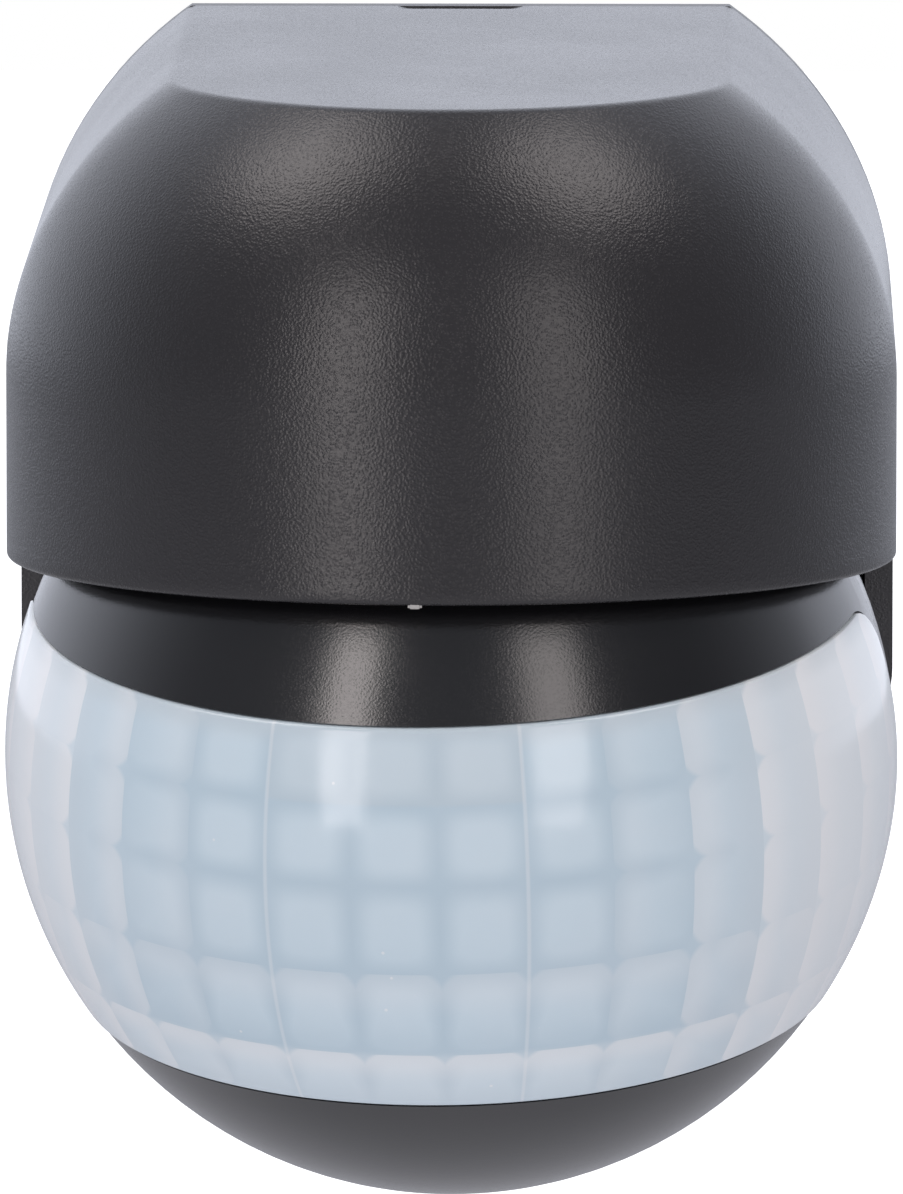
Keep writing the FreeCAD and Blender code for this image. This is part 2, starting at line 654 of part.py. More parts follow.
def build_rear_shell():
    """The rear shell: back of the ball, the pocket for the tongue, and all posts and bosses."""
    outside, hollow = head_form("rear_form")
    behind = box("rear_side", (-50, 50), ("head_split", 50), (-50, 50))
    half = common("rear_half", hollow, behind)
    bars = []
    holes = []
    for number, (x, z) in enumerate(CASE_SCREWS, start=1):
        bars.append(rod(f"rear_boss{number}", "y", 3.6, ("head_split", 30), (x, z)))
        holes.append(rod(f"rear_boss_hole{number}", "y", 1.5, (2, 40), (x, z)))
        holes.append(rod(f"rear_counterbore{number}", "y", 2.7, (9, 40), (x, z)))
    for number, (x, z) in enumerate(BOARD_POSTS, start=1):
        bars.append(rod(f"rear_post{number}", "y", 2.3, ("board_back", 34), (x, z)))
        holes.append(rod(f"rear_post_hole{number}", "y", 1, (7, 13.2), (x, z)))
    for side in BOTH:
        tag = "left" if side < 0 else "right"
        stay = group(f"rear_stay_{tag}", [rod(f"rear_stay_bar_{tag}", "z", 1.3, (-34, -25.1),
                                              (14.2 * side, 0))])
        stay.Placement = Placement(Vector(), PANEL_TURN)
        bars.append(stay)
    bars.append(box("rear_pocket_block", (-6.1, 6.1), (-8.1, 18.6), (-9.1, "head_top")))
    bars.append(rod("rear_pin_boss", "x", 4, (-9, 9)))
    filled = common("rear_fill", fuse("rear_bars", *bars), outside)
    holes.append(box("rear_pocket", (-4.5, 4.5), (-6.5, 17), (-7.5, 30)))
    holes.append(rod("rear_pin_hole", "x", "pin_radius", (-10, 10)))
    for step in (-1, 0, 1):
        hole = group(f"rear_knob_hole{step + 2}", [
            rod(f"rear_knob_bar{step + 2}", "z", "knob_radius + 0.3", (-40, -30.8),
                (f"{step} * knob_pitch", 0))])
        hole.Placement = Placement(Vector(), PANEL_TURN)
        holes.append(hole)
    keep(cut("head_rear_shell", fuse("rear_filled", half, filled), *holes), "head_rear_shell", "head")


def build_tilt_pin():
    """The tilt pin across the pocket, with a friction washer at each side of the tongue."""
    keep(group("tilt_pin", [rod("tilt_pin_bar", "x", "pin_radius", (-9, 9))]), "tilt_pin", "head")
    rings = []
    for side in BOTH:
        tag = "left" if side < 0 else "right"
        ends = sorted((3.7 * side, 4.4 * side))
        rings.append(cut(f"tilt_washer_{tag}", rod(f"tilt_washer_disc_{tag}", "x", 4.6, ends),
                         rod(f"tilt_washer_hole_{tag}", "x", 2.1, (-5, 5))))
    keep(group("tilt_washers", rings), "tilt_washers", "head")


def build_case_screws():
    """The four long screws that close the ball from behind."""
    screws = [screw(f"case_screw{number}", "y", middle, 9, (2.5, 1.9), (1.25, -13))
              for number, middle in enumerate(CASE_SCREWS, start=1)]
    keep(group("case_screws", screws), "case_screws", "head")


def build_boards():
    """The power board behind, the sensor board in front, their spacers and screws."""
    front = "board_back - board_depth"
    power = new_body("power_board")
    outline = sketch_on(power, "power_outline", "XZ_Plane", "-board_back")
    draw_outline(outline, ((-24, -18.5), (24, -18.5), (24, 12.5), (7.4, 12.5), (7.4, -10.4),
                           (-7.4, -10.4), (-7.4, 12.5), (-24, 12.5)))
    pad(power, outline, "board_depth")
    holes = sketch_on(power, "power_holes", "XZ_Plane", "-board_back")
    for x, z in BOARD_POSTS:
        draw_circle(holes, 1.2, x, z)
    pocket(power, holes, "board_depth", reverse=True)
    keep(power, "power_board", "head")

    sensor = new_body("sensor_board")
    outline = sketch_on(sensor, "sensor_outline", "XZ_Plane", "11")
    draw_outline(outline, ((-16, -18), (16, -18), (22, -12), (22, 8), (16, 14), (-16, 14),
                           (-22, 8), (-22, -12)))
    pad(sensor, outline, "board_depth")
    keep(sensor, "sensor_board", "head")

    bars = [rod(f"spacer{number}", "y", 2.1, (-11, front), middle)
            for number, middle in enumerate(SPACERS, start=1)]
    keep(group("board_spacers", bars), "board_spacers", "head")
    screws = [screw(f"board_screw{number}", "y", middle, 6, (1.9, -1.5), (1, 7))
              for number, middle in enumerate(BOARD_POSTS, start=1)]
    keep(group("board_screws", screws), "board_screws", "head")


def build_power_parts():
    """Relay, mains capacitor and smoothing capacitor on the back of the power board."""
    relay = new_body("relay")
    outline = sketch_on(relay, "relay_outline", "XZ_Plane", "-board_back")
    draw_rectangle(outline, (8.2, 18.2), (-9.5, 11))
    case = pad(relay, outline, 15, reverse=True)
    doc.recompute()
    rounding = relay.newObject("PartDesign::Fillet", "relay_rounding")
    rounding.Base = (case, ["Edge1", "Edge3", "Edge5", "Edge7"])
    rounding.Radius = 0.6
    keep(relay, "relay", "head")

    film = new_body("film_capacitor")
    outline = sketch_on(film, "film_outline", "XZ_Plane", "-board_back")
    draw_rectangle(outline, (-15.8, -8.3), (-9, 9))
    pad(film, outline, 13, reverse=True)
    keep(film, "film_capacitor", "head")

    can = fuse("can_blank", rod("can_body", "y", 4, ("board_back", 19.4), (-20.2, -3)),
               rod("can_base", "y", 3.7, ("board_back", 19.8), (-20.2, -3)))
    neck = cut("can_neck", rod("can_neck_outer", "y", 4.2, (9, 9.8), (-20.2, -3)),
               rod("can_neck_inner", "y", 3.6, (8, 11), (-20.2, -3)))
    keep(cut("electrolytic_capacitor", can, neck), "electrolytic_capacitor", "head")


def build_sensing_parts():
    """The heat sensor with its holder and window, the photocell and the indicator lamp."""
    middle = (0, -1)
    holder = cut("holder_blank", rod("holder_outer", "y", 6.5, (-15.4, -12.6), middle),
                 rod("holder_inner", "y", 4.75, (-16, -12), middle))
    keep(holder, "sensor_holder", "head")
    can = fuse("pir_can", rod("pir_flange", "y", 4.7, (-13.4, -12.6), middle),
               rod("pir_cap", "y", 4.15, (-17.2, -13), middle))
    keep(cut("pir_sensor", can, box("pir_opening", (-2, 2), (-18, -16.8), (-2.5, 0.5))),
         "pir_sensor", "head")
    pane = box("pir_pane", (-2, 2), (-17.1, -16.8), (-2.5, 0.5))
    keep(group("pir_window", [pane]), "pir_window", "head")
    cell = cut("photocell", rod("cell_disc", "y", 2.5, (-14.6, -12.6), (10, -9)),
               box("cell_key", (12, 14), (-16, -12), (-12, -6)))
    keep(cell, "photocell", "head")
    lamp = fuse("lamp_blank", rod("lamp_base", "y", 1.9, (-13.6, -12.6), (-10, -9)),
                rod("lamp_barrel", "y", 1.5, (-15.6, -13), (-10, -9)))
    tip = doc.addObject("Part::Sphere", "lamp_tip")
    tip.Radius = 1.5
    place(tip, -10, -15.6, -9)
    keep(fuse("status_lamp", lamp, tip), "status_lamp", "head")


def build_controls():
    """The control board with its three trimmers, and the knob of each, behind the panel."""
    board = new_body("control_board")
    outline = sketch_on(board, "control_outline", "XY_Plane", -25.1)
    draw_rectangle(outline, (-15.8, 15.8), (-5, 5))
    pad(board, outline, 1.2)
    keep(board, "control_board", "panel")
    trimmers = []
    for step, label in ((-1, "time_knob"), (0, "light_knob"), (1, "range_knob")):
        middle = (f"{step} * knob_pitch", 0)
        across = (f"{step} * knob_pitch - 3.75", f"{step} * knob_pitch + 3.75")
        case = box(label + "_trimmer_case", across, (-3.75, 3.75), (-30.5, -25.1))
        trimmers.append(cut(label + "_trimmer", case,
                            rod(label + "_trimmer_bore", "z", "1.5 + running_fit", (-31, -26.6),
                                middle)))
        knob = new_body(label)
        face = sketch_on(knob, label + "_face", "XY_Plane", -31)
        draw_circle(face, "knob_radius", middle[0], 0)
        pad(knob, face, 2, reverse=True)
        stem = sketch_on(knob, label + "_stem", "XY_Plane", -31)
        draw_circle(stem, 1.5, middle[0], 0)
        pad(knob, stem, 4)
        slot = sketch_on(knob, label + "_slot", "XY_Plane", -33)
        draw_rectangle(slot, (f"{step} * knob_pitch - 0.45", f"{step} * knob_pitch + 0.45"),
                       (-2.2, 2.2))
        pocket(knob, slot, 0.9, reverse=True)
        keep(knob, label, "panel")
    keep(group("trimmers", trimmers), "trimmers", "panel")


build_hood()
build_wall_base()
build_wall_gasket()
build_cable_grommet()
build_terminals()
build_bracket()
build_swivel()
build_lens()
build_front_shell()
build_rear_shell()
build_tilt_pin()
build_case_screws()
build_boards()
build_power_parts()
build_sensing_parts()
build_controls()

# ---------------------------------------------------------------- places at rest
CENTRE = Vector(0, -size("wall_reach"), -size("fixing_rise"))
PAN = Rotation(Vector(0, 0, 1), size("rest_pan"))
NOD = Rotation(Vector(1, 0, 0), size("rest_nod"))
FRAMES = {
    "base": Placement(CENTRE, Rotation()),
    "swivel": Placement(CENTRE, PAN),
    "head": Placement(CENTRE, PAN * NOD),
    "panel": Placement(CENTRE, PAN * NOD * PANEL_TURN),
}
doc.recompute()
for item, label, frame in NODES:
    item.Placement = FRAMES[frame]
doc.recompute()

# ---------------------------------------------------------------- checks and files
faulty = [item.Name for item in doc.Objects
          if "Invalid" in item.State or "Error" in item.State]
if faulty:
    raise RuntimeError(f"failed objects: {faulty}")
os.makedirs("parts", exist_ok=True)
for item, label, frame in NODES:
    shape = item.Shape
    if shape.isNull() or not shape.isValid() or not shape.Solids:
        raise RuntimeError(f"{label} has no valid solid")
    shape.exportStep(f"parts/{label}.step")
    print(f"{label:24s} solids {len(shape.Solids)} volume {shape.Volume:9.1f} box {shape.BoundBox}")
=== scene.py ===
"""Looks of a wall motion sensor: a ball head with a milky faceted lens, under an arched black hood.

Everything is in metres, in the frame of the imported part: +Z up, the wall face at y = 0, and the
viewer at -Y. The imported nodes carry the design; the pieces built here are their finished skins.
"""
import json
import logging
import math
from dataclasses import dataclass
from enum import Enum

import bmesh
import bpy
import numpy as np
from mathutils import Matrix, Vector


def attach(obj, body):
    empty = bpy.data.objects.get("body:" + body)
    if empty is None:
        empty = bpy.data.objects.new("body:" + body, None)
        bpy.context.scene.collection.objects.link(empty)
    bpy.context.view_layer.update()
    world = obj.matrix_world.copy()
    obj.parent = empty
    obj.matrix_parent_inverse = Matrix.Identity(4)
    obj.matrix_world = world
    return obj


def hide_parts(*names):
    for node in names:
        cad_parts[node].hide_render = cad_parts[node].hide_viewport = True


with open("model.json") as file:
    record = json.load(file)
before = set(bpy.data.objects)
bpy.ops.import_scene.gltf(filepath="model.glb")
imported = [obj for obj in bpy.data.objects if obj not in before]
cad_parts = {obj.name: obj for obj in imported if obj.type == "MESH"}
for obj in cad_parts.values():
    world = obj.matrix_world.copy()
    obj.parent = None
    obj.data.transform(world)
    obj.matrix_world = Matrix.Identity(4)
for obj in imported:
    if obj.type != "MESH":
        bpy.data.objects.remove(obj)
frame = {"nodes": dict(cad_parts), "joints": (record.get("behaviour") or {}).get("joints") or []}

log = logging.getLogger("sensor")
MM = 0.001
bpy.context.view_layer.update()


# ---------------------------------------------------------------- frame facts
def joint(name: str) -> dict:
    """The record of the joint with that name."""
    return next(item for item in frame["joints"] if item["name"] == name)


BALL = Vector(joint("tilt")["pos_m"])
REST_PAN = math.atan2(joint("tilt")["axis"][1], joint("tilt")["axis"][0])
PANEL_LEAN = math.radians(40)
REST_NOD = math.acos(-joint("light_setting")["axis"][2]) - PANEL_LEAN
HEAD = (Matrix.Translation(BALL) @ Matrix.Rotation(REST_PAN, 4, "Z")
        @ Matrix.Rotation(REST_NOD, 4, "X"))


# ---------------------------------------------------------------- node tree helpers
class Tree:
    """A node tree with short ways to add and join nodes."""

    def __init__(self, tree: bpy.types.NodeTree) -> None:
        """Keep the tree.

        Args:
            tree: the node tree to write to.
        """
        self.tree = tree

    def add(self, kind: str, inputs: dict | None = None, **settings: object) -> bpy.types.Node:
        """Add a node.

        Args:
            kind: the node's type name.
            inputs: socket names or numbers, each with a value or an output socket to join to it.
            **settings: attributes of the node.

        Returns:
            The new node.
        """
        node = self.tree.nodes.new(kind)
        for name, value in settings.items():
            setattr(node, name, value)
        for name, value in (inputs or {}).items():
            self.feed(node.inputs[name], value)
        return node

    def feed(self, socket: bpy.types.NodeSocket, value: object) -> None:
        """Join an output socket to an input, or set the input's own value.

        Args:
            socket: the input.
            value: an output socket, a number or a tuple.
        """
        if isinstance(value, bpy.types.NodeSocket):
            self.tree.links.new(value, socket)
        else:
            socket.default_value = value

    def math(self, operation: str, first: object, second: object = 0.0,
             clamp: bool = False) -> bpy.types.NodeSocket:
        """Add a math node.

        Args:
            operation: the sum it does.
            first: its first input.
            second: its second input.
            clamp: whether the result is kept from 0 to 1.

        Returns:
            The node's output.
        """
        node = self.add("ShaderNodeMath", {0: first, 1: second}, operation=operation)
        node.use_clamp = clamp
        return node.outputs[0]

    def ramp(self, value: object, low: float, high: float, out_low: float = 0.0,
             out_high: float = 1.0) -> bpy.types.NodeSocket:
        """Map a value smoothly from one range to another.

        Args:
            value: the input.
            low: where the range starts.
            high: where the range ends.
            out_low: what the start becomes.
            out_high: what the end becomes.

        Returns:
            The mapped value's socket.
        """
        node = self.add("ShaderNodeMapRange",
                        {"Value": value, "From Min": low, "From Max": high,
                         "To Min": out_low, "To Max": out_high},
                        interpolation_type="SMOOTHSTEP")
        return node.outputs["Result"]

    def blend(self, share: object, first: object, second: object) -> bpy.types.NodeSocket:
        """Mix two colours.

        Args:
            share: how much of the second.
            first: the first colour.
            second: the second colour.

        Returns:
            The mixed colour's socket.
        """
        node = self.add("ShaderNodeMix", data_type="RGBA")
        self.feed(node.inputs[0], share)
        self.feed(node.inputs[6], first)
        self.feed(node.inputs[7], second)
        return node.outputs[2]

    def noise(self, vector: object, scale: float, detail: float = 2.0,
              roughness: float = 0.5) -> bpy.types.NodeSocket:
        """Add a noise texture.

        Args:
            vector: the place it is read at.
            scale: spots per metre.
            detail: number of finer layers.
            roughness: strength of the finer layers.

        Returns:
            The noise value's socket.
        """
        node = self.add("ShaderNodeTexNoise", {"Vector": vector, "Scale": scale,
                                               "Detail": detail, "Roughness": roughness})
        return node.outputs["Fac"]


def start_material(name: str) -> tuple[bpy.types.Material, Tree, bpy.types.Node,
                                       bpy.types.NodeSocket]:
    """Make a material that still has only its Principled shader.

    Args:
        name: the material's name.

    Returns:
        The material, its tree helper, its shader and the socket of the place on the object.
    """
    material = bpy.data.materials.new(name)
    material.use_nodes = True
    tree = Tree(material.node_tree)
    place = tree.add("ShaderNodeTexCoord").outputs["Object"]
    return material, tree, material.node_tree.nodes["Principled BSDF"], place


def shader_group(name: str, inputs: dict[str, tuple[str, object]],
                 outputs: dict[str, str]) -> tuple[bpy.types.NodeTree, Tree, object, object]:
    """Make an empty shader node group.

    Args:
        name: the group's name.
        inputs: each input's name with its socket type and default value.
        outputs: each output's name with its socket type.

    Returns:
        The group, its tree helper, its input node and its output node.
    """
    group = bpy.data.node_groups.new(name, "ShaderNodeTree")
    for label, (kind, value) in inputs.items():
        socket = group.interface.new_socket(label, in_out="INPUT", socket_type=kind)
        if value is not None:
            socket.default_value = value
    for label, kind in outputs.items():
        group.interface.new_socket(label, in_out="OUTPUT", socket_type=kind)
    tree = Tree(group)
    return group, tree, tree.add("NodeGroupInput"), tree.add("NodeGroupOutput")


# ---------------------------------------------------------------- shared effects
def build_grain_group() -> bpy.types.NodeTree:
    """The fine leathery texture that spark erosion leaves on moulded plastic.

    Returns:
        A group that turns a place into a height and a fleck mask.
    """
    group, tree, given, result = shader_group(
        "moulded_grain",
        {"Place": ("NodeSocketVector", None), "Cells": ("NodeSocketFloat", 2300.0),
         "Softness": ("NodeSocketFloat", 0.5)},
        {"Height": "NodeSocketFloat", "Fleck": "NodeSocketFloat"})
    place = given.outputs["Place"]
    warp = tree.add("ShaderNodeTexNoise", {"Vector": place, "Scale": 900.0, "Detail": 1.0})
    shifted = tree.add("ShaderNodeVectorMath", {0: warp.outputs["Color"], 1: (0.0004,) * 3},
                       operation="MULTIPLY")
    moved = tree.add("ShaderNodeVectorMath", {0: place, 1: shifted.outputs[0]}, operation="ADD")
    cells = tree.add("ShaderNodeTexVoronoi", {"Vector": moved.outputs[0],
                                              "Scale": given.outputs["Cells"],
                                              "Smoothness": given.outputs["Softness"]},
                     feature="SMOOTH_F1")
    fine = tree.noise(place, 9000.0, 2.0, 0.6)
    dome = tree.ramp(cells.outputs["Distance"], 0.0, 0.75, 1.0, 0.0)
    height = tree.math("ADD", tree.math("MULTIPLY", dome, 0.7), tree.math("MULTIPLY", fine, 0.5))
    tree.feed(result.inputs["Height"], height)
    tree.feed(result.inputs["Fleck"], tree.ramp(height, 0.55, 0.85))
    return group


def build_handling_group() -> bpy.types.NodeTree:
    """Faint large patches where plastic has been touched or has settled dust.

    Returns:
        A group that turns a place into a patch mask and a dust mask.
    """
    group, tree, given, result = shader_group(
        "handling",
        {"Place": ("NodeSocketVector", None), "Patch Size": ("NodeSocketFloat", 40.0),
         "Dust": ("NodeSocketFloat", 0.3)},
        {"Patch": "NodeSocketFloat", "Dust": "NodeSocketFloat"})
    place = given.outputs["Place"]
    broad = tree.add("ShaderNodeTexNoise", {"Vector": place, "Scale": given.outputs["Patch Size"],
                                            "Detail": 4.0, "Roughness": 0.62})
    tree.feed(result.inputs["Patch"], tree.ramp(broad.outputs["Fac"], 0.35, 0.68))
    facing = tree.add("ShaderNodeNewGeometry")
    split = tree.add("ShaderNodeSeparateXYZ", {0: facing.outputs["Normal"]})
    upward = tree.ramp(split.outputs["Z"], 0.55, 1.0)
    specks = tree.ramp(tree.noise(place, 1500.0, 3.0, 0.7), 0.56, 0.72)
    dust = tree.math("MULTIPLY", tree.math("MULTIPLY", upward, specks), given.outputs["Dust"])
    tree.feed(result.inputs["Dust"], dust)
    return group


GRAIN = build_grain_group()
HANDLING = build_handling_group()


# ---------------------------------------------------------------- finishes
class Touch(Enum):
    """How a moulded surface feels: the cells of its grain in a metre, and their depth in metres."""

    ERODED = (4300.0, 22e-6)
    SATIN = (5200.0, 5e-6)
    POLISHED = (700.0, 3e-6)


DUST = (0.36, 0.35, 0.34, 1.0)


@dataclass(frozen=True)
class Plastic:
    """A moulded plastic."""

    name: str
    colour: tuple[float, float, float]
    roughness: float
    touch: Touch = Touch.SATIN
    dust: float = 0.2
    patch_size: float = 40.0
    specular: float = 0.5
    deep_tone: float = 0.86
    worn_polish: float = -0.035
    fleck_roughness: float = 0.05

    def make(self) -> bpy.types.Material:
        """Build the material.

        Returns:
            The material.
        """
        material, tree, shader, place = start_material(self.name)
        cells, depth = self.touch.value
        grain = tree.add("ShaderNodeGroup", node_tree=GRAIN)
        tree.feed(grain.inputs["Place"], place)
        tree.feed(grain.inputs["Cells"], cells)
        worn = tree.add("ShaderNodeGroup", node_tree=HANDLING)
        tree.feed(worn.inputs["Place"], place)
        tree.feed(worn.inputs["Patch Size"], self.patch_size)
        tree.feed(worn.inputs["Dust"], self.dust)
        deep = tuple(part * self.deep_tone for part in self.colour) + (1.0,)
        base = tree.blend(worn.outputs["Patch"], deep, self.colour + (1.0,))
        tree.feed(shader.inputs["Base Color"], tree.blend(worn.outputs["Dust"], base, DUST))
        rough = tree.math("ADD", tree.math("MULTIPLY", worn.outputs["Patch"], self.worn_polish),
                          tree.math("MULTIPLY", grain.outputs["Fleck"], self.fleck_roughness))
        tree.feed(shader.inputs["Roughness"], tree.math("ADD", rough, self.roughness))
        bump = tree.add("ShaderNodeBump", {"Height": grain.outputs["Height"],
                                           "Strength": 1.0, "Distance": depth})
        tree.feed(shader.inputs["Normal"], bump.outputs["Normal"])
        shader.inputs["Specular IOR Level"].default_value = self.specular
        return material


@dataclass(frozen=True)
class Metal:
    """A bare or plated metal."""

    name: str
    colour: tuple[float, float, float]
    roughness: float
    grain: float = 900.0
    grain_depth: float = 5e-6
    tarnish_tone: float = 0.72
    roughness_spread: tuple[float, float] = (-0.05, 0.12)

    def make(self) -> bpy.types.Material:
        """Build the material.

        Returns:
            The material.
        """
        material, tree, shader, place = start_material(self.name)
        spots = tree.noise(place, self.grain, 3.0, 0.6)
        tarnish = tuple(part * self.tarnish_tone for part in self.colour) + (1.0,)
        tree.feed(shader.inputs["Base Color"],
                  tree.blend(tree.ramp(spots, 0.4, 0.75), self.colour + (1.0,), tarnish))
        smooth, rough = (self.roughness + part for part in self.roughness_spread)
        tree.feed(shader.inputs["Roughness"], tree.ramp(spots, 0.3, 0.8, smooth, rough))
        bump = tree.add("ShaderNodeBump", {"Height": spots, "Strength": 1.0,
                                           "Distance": self.grain_depth})
        tree.feed(shader.inputs["Normal"], bump.outputs["Normal"])
        shader.inputs["Metallic"].default_value = 1.0
        return material


HOUSING = Plastic("housing_black", (0.025, 0.024, 0.026), 0.27, Touch.ERODED, dust=0.10)
HEAD_BLACK = Plastic("head_black", (0.007, 0.007, 0.008), 0.21, Touch.SATIN, dust=0.02,
                     specular=0.95)
BASE_BLACK = Plastic("base_black", (0.06, 0.06, 0.065), 0.42, Touch.ERODED, dust=0.05)
NYLON = Plastic("bracket_nylon", (0.05, 0.05, 0.055), 0.5, Touch.ERODED)
RUBBER = Plastic("grommet_rubber", (0.022, 0.022, 0.022), 0.62, Touch.SATIN)
FOAM = Plastic("foam_grey", (0.055, 0.048, 0.042), 0.9, Touch.ERODED)
TERMINAL = Plastic("terminal_white", (0.62, 0.61, 0.57), 0.42, Touch.SATIN)
BOARD = Plastic("board_green", (0.016, 0.11, 0.045), 0.35, Touch.POLISHED)
RELAY = Plastic("relay_blue", (0.03, 0.10, 0.36), 0.35, Touch.SATIN)
FILM = Plastic("film_yellow", (0.62, 0.42, 0.06), 0.38, Touch.SATIN)
SLEEVE = Plastic("can_sleeve", (0.02, 0.022, 0.035), 0.28, Touch.POLISHED)
HOLDER = Plastic("holder_white", (0.62, 0.62, 0.60), 0.45, Touch.SATIN)
AMBER = Plastic("cell_amber", (0.45, 0.30, 0.09), 0.2, Touch.POLISHED)
RED = Plastic("lamp_red", (0.5, 0.03, 0.02), 0.18, Touch.POLISHED)
TRIMMER = Plastic("trimmer_case", (0.05, 0.05, 0.06), 0.42, Touch.SATIN)
GATE = Plastic("gate_mark", (0.55, 0.54, 0.52), 0.5)
KNOB = Plastic("knob_grey", (0.24, 0.25, 0.26), 0.36, Touch.SATIN)
ZINC = Metal("screw_zinc", (0.62, 0.61, 0.57), 0.30)
SPRING_STEEL = Metal("washer_steel", (0.45, 0.45, 0.46), 0.34)
BRASS = Metal("clamp_brass", (0.72, 0.52, 0.22), 0.30)
NICKEL = Metal("sensor_can", (0.66, 0.64, 0.60), 0.22)
FILTER = Plastic("filter_dark", (0.035, 0.02, 0.03), 0.08, Touch.POLISHED)

NODE_FINISH = {
    "hood": HOUSING, "wall_base": BASE_BLACK, "wall_gasket": FOAM, "cable_grommet": RUBBER,
    "terminal_block": TERMINAL, "terminal_clamps": BRASS, "terminal_screws": ZINC,
    "swivel_bracket": NYLON, "bracket_screws": ZINC, "hood_screws": ZINC,
    "swivel_yoke": NYLON, "swivel_washer": SPRING_STEEL, "swivel_nut": NYLON,
    "head_front_shell": HEAD_BLACK, "head_rear_shell": HEAD_BLACK, "lens": HOLDER,
    "tilt_pin": SPRING_STEEL, "tilt_washers": SPRING_STEEL, "case_screws": ZINC,
    "power_board": BOARD, "sensor_board": BOARD, "board_spacers": HOLDER, "board_screws": ZINC,
    "relay": RELAY, "film_capacitor": FILM, "electrolytic_capacitor": SLEEVE,
    "sensor_holder": HOLDER, "pir_sensor": NICKEL, "pir_window": FILTER, "photocell": AMBER,
    "status_lamp": RED, "control_board": BOARD, "trimmers": TRIMMER,
    "time_knob": KNOB, "light_knob": KNOB, "range_knob": KNOB,
}


# ---------------------------------------------------------------- mesh helpers
def link(name: str, data: bpy.types.ID) -> bpy.types.Object:
    """Make an object at the origin and put it in the scene.

    Args:
        name: the object's name.
        data: its mesh, camera or light.

    Returns:
        The object.
    """
    thing = bpy.data.objects.new(name, data)
    bpy.context.scene.collection.objects.link(thing)
    return thing


def mesh_object(name: str, vertices: np.ndarray, faces: list[tuple[int, ...]]) -> bpy.types.Object:
    """Make a smooth mesh object.

    Args:
        name: the piece's name.
        vertices: one row of x, y and z in metres for each vertex.
        faces: the vertex numbers of each face.

    Returns:
        The object, linked into the scene.
    """
    mesh = bpy.data.meshes.new(name)
    mesh.from_pydata(vertices.tolist(), [], faces)
    mesh.update()
    return link(name, mesh)


def grid_faces(columns: int, rows: int, wrap_rows: bool = False) -> list[tuple[int, ...]]:
    """Number the faces of a grid whose vertices run along each column in turn.

    Args:
        columns: how many columns.
        rows: how many vertices in each.
        wrap_rows: whether the last row joins the first.

    Returns:
        The faces.
    """
    last = rows if wrap_rows else rows - 1
    return [(c * rows + r, (c + 1) * rows + r, (c + 1) * rows + (r + 1) % rows,
             c * rows + (r + 1) % rows)
            for c in range(columns - 1) for r in range(last)]


def tidy_mesh(thing: bpy.types.Object, merge: float = 2e-6, close: bool = False,
              crease: float = 40.0) -> bpy.types.Object:
    """Merge doubles, turn the faces outwards and shade them smooth up to an angle.

    Args:
        thing: the object.
        merge: how close two vertices must be to become one.
        close: whether open edges are filled.
        crease: the angle from which an edge stays sharp, in degrees.

    Returns:
        The same object.
    """
    work = bmesh.new()
    work.from_mesh(thing.data)
    bmesh.ops.remove_doubles(work, verts=work.verts, dist=merge)
    if close:
        rim = [edge for edge in work.edges if edge.is_boundary]
        bmesh.ops.contextual_create(work, geom=rim)
    bmesh.ops.recalc_face_normals(work, faces=work.faces)
    for face in work.faces:
        face.smooth = True
    for edge in work.edges:
        if len(edge.link_faces) == 2:
            edge.smooth = edge.calc_face_angle(0.0) < math.radians(crease)
    work.to_mesh(thing.data)
    work.free()
    return thing


def finish_piece(thing: bpy.types.Object, body: str, material: bpy.types.Material,
                 slot: str, *nodes: str) -> bpy.types.Object:
    """Give a piece its material and its place in the frame.

    Args:
        thing: the finished piece.
        body: the body that it rides on.
        material: its material.
        slot: the record's material slot; not used.
        *nodes: the CAD nodes that it stands for.

    Returns:
        The same object.
    """
    thing.data.materials.clear()
    thing.data.materials.append(material)
    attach(thing, body)
    if nodes:
        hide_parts(*nodes)
    log.info("%s rides on %s, %d faces", thing.name, body, len(thing.data.polygons))
    return thing


def geometry_group(name: str, inputs: dict[str, str]) -> tuple[bpy.types.NodeTree, Tree, object]:
    """Make a geometry node tree that has its input node.

    Args:
        name: the tree's name.
        inputs: each size's name with its socket type; the geometry and material are added.

    Returns:
        The node tree, its helper and the outputs of its input node.
    """
    group = bpy.data.node_groups.new(name, "GeometryNodeTree")
    for label, kind in {"Geometry": "Geometry", **inputs, "Material": "Material"}.items():
        group.interface.new_socket(label, in_out="INPUT", socket_type="NodeSocket" + kind)
    group.interface.new_socket("Geometry", in_out="OUTPUT", socket_type="NodeSocketGeometry")
    tree = Tree(group)
    return group, tree, tree.add("NodeGroupInput").outputs


def end_group(tree: Tree, geometry: bpy.types.NodeSocket, material: bpy.types.NodeSocket) -> None:
    """End a geometry node tree with plain, dressed geometry.

    Args:
        tree: the tree's helper.
        geometry: what it has made.
        material: the material's socket.
    """
    whole = tree.add("GeometryNodeRealizeInstances", {"Geometry": geometry})
    dressed = tree.add("GeometryNodeSetMaterial", {"Geometry": whole.outputs[0],
                                                   "Material": material})
    tree.add("NodeGroupOutput", {"Geometry": dressed.outputs[0]})


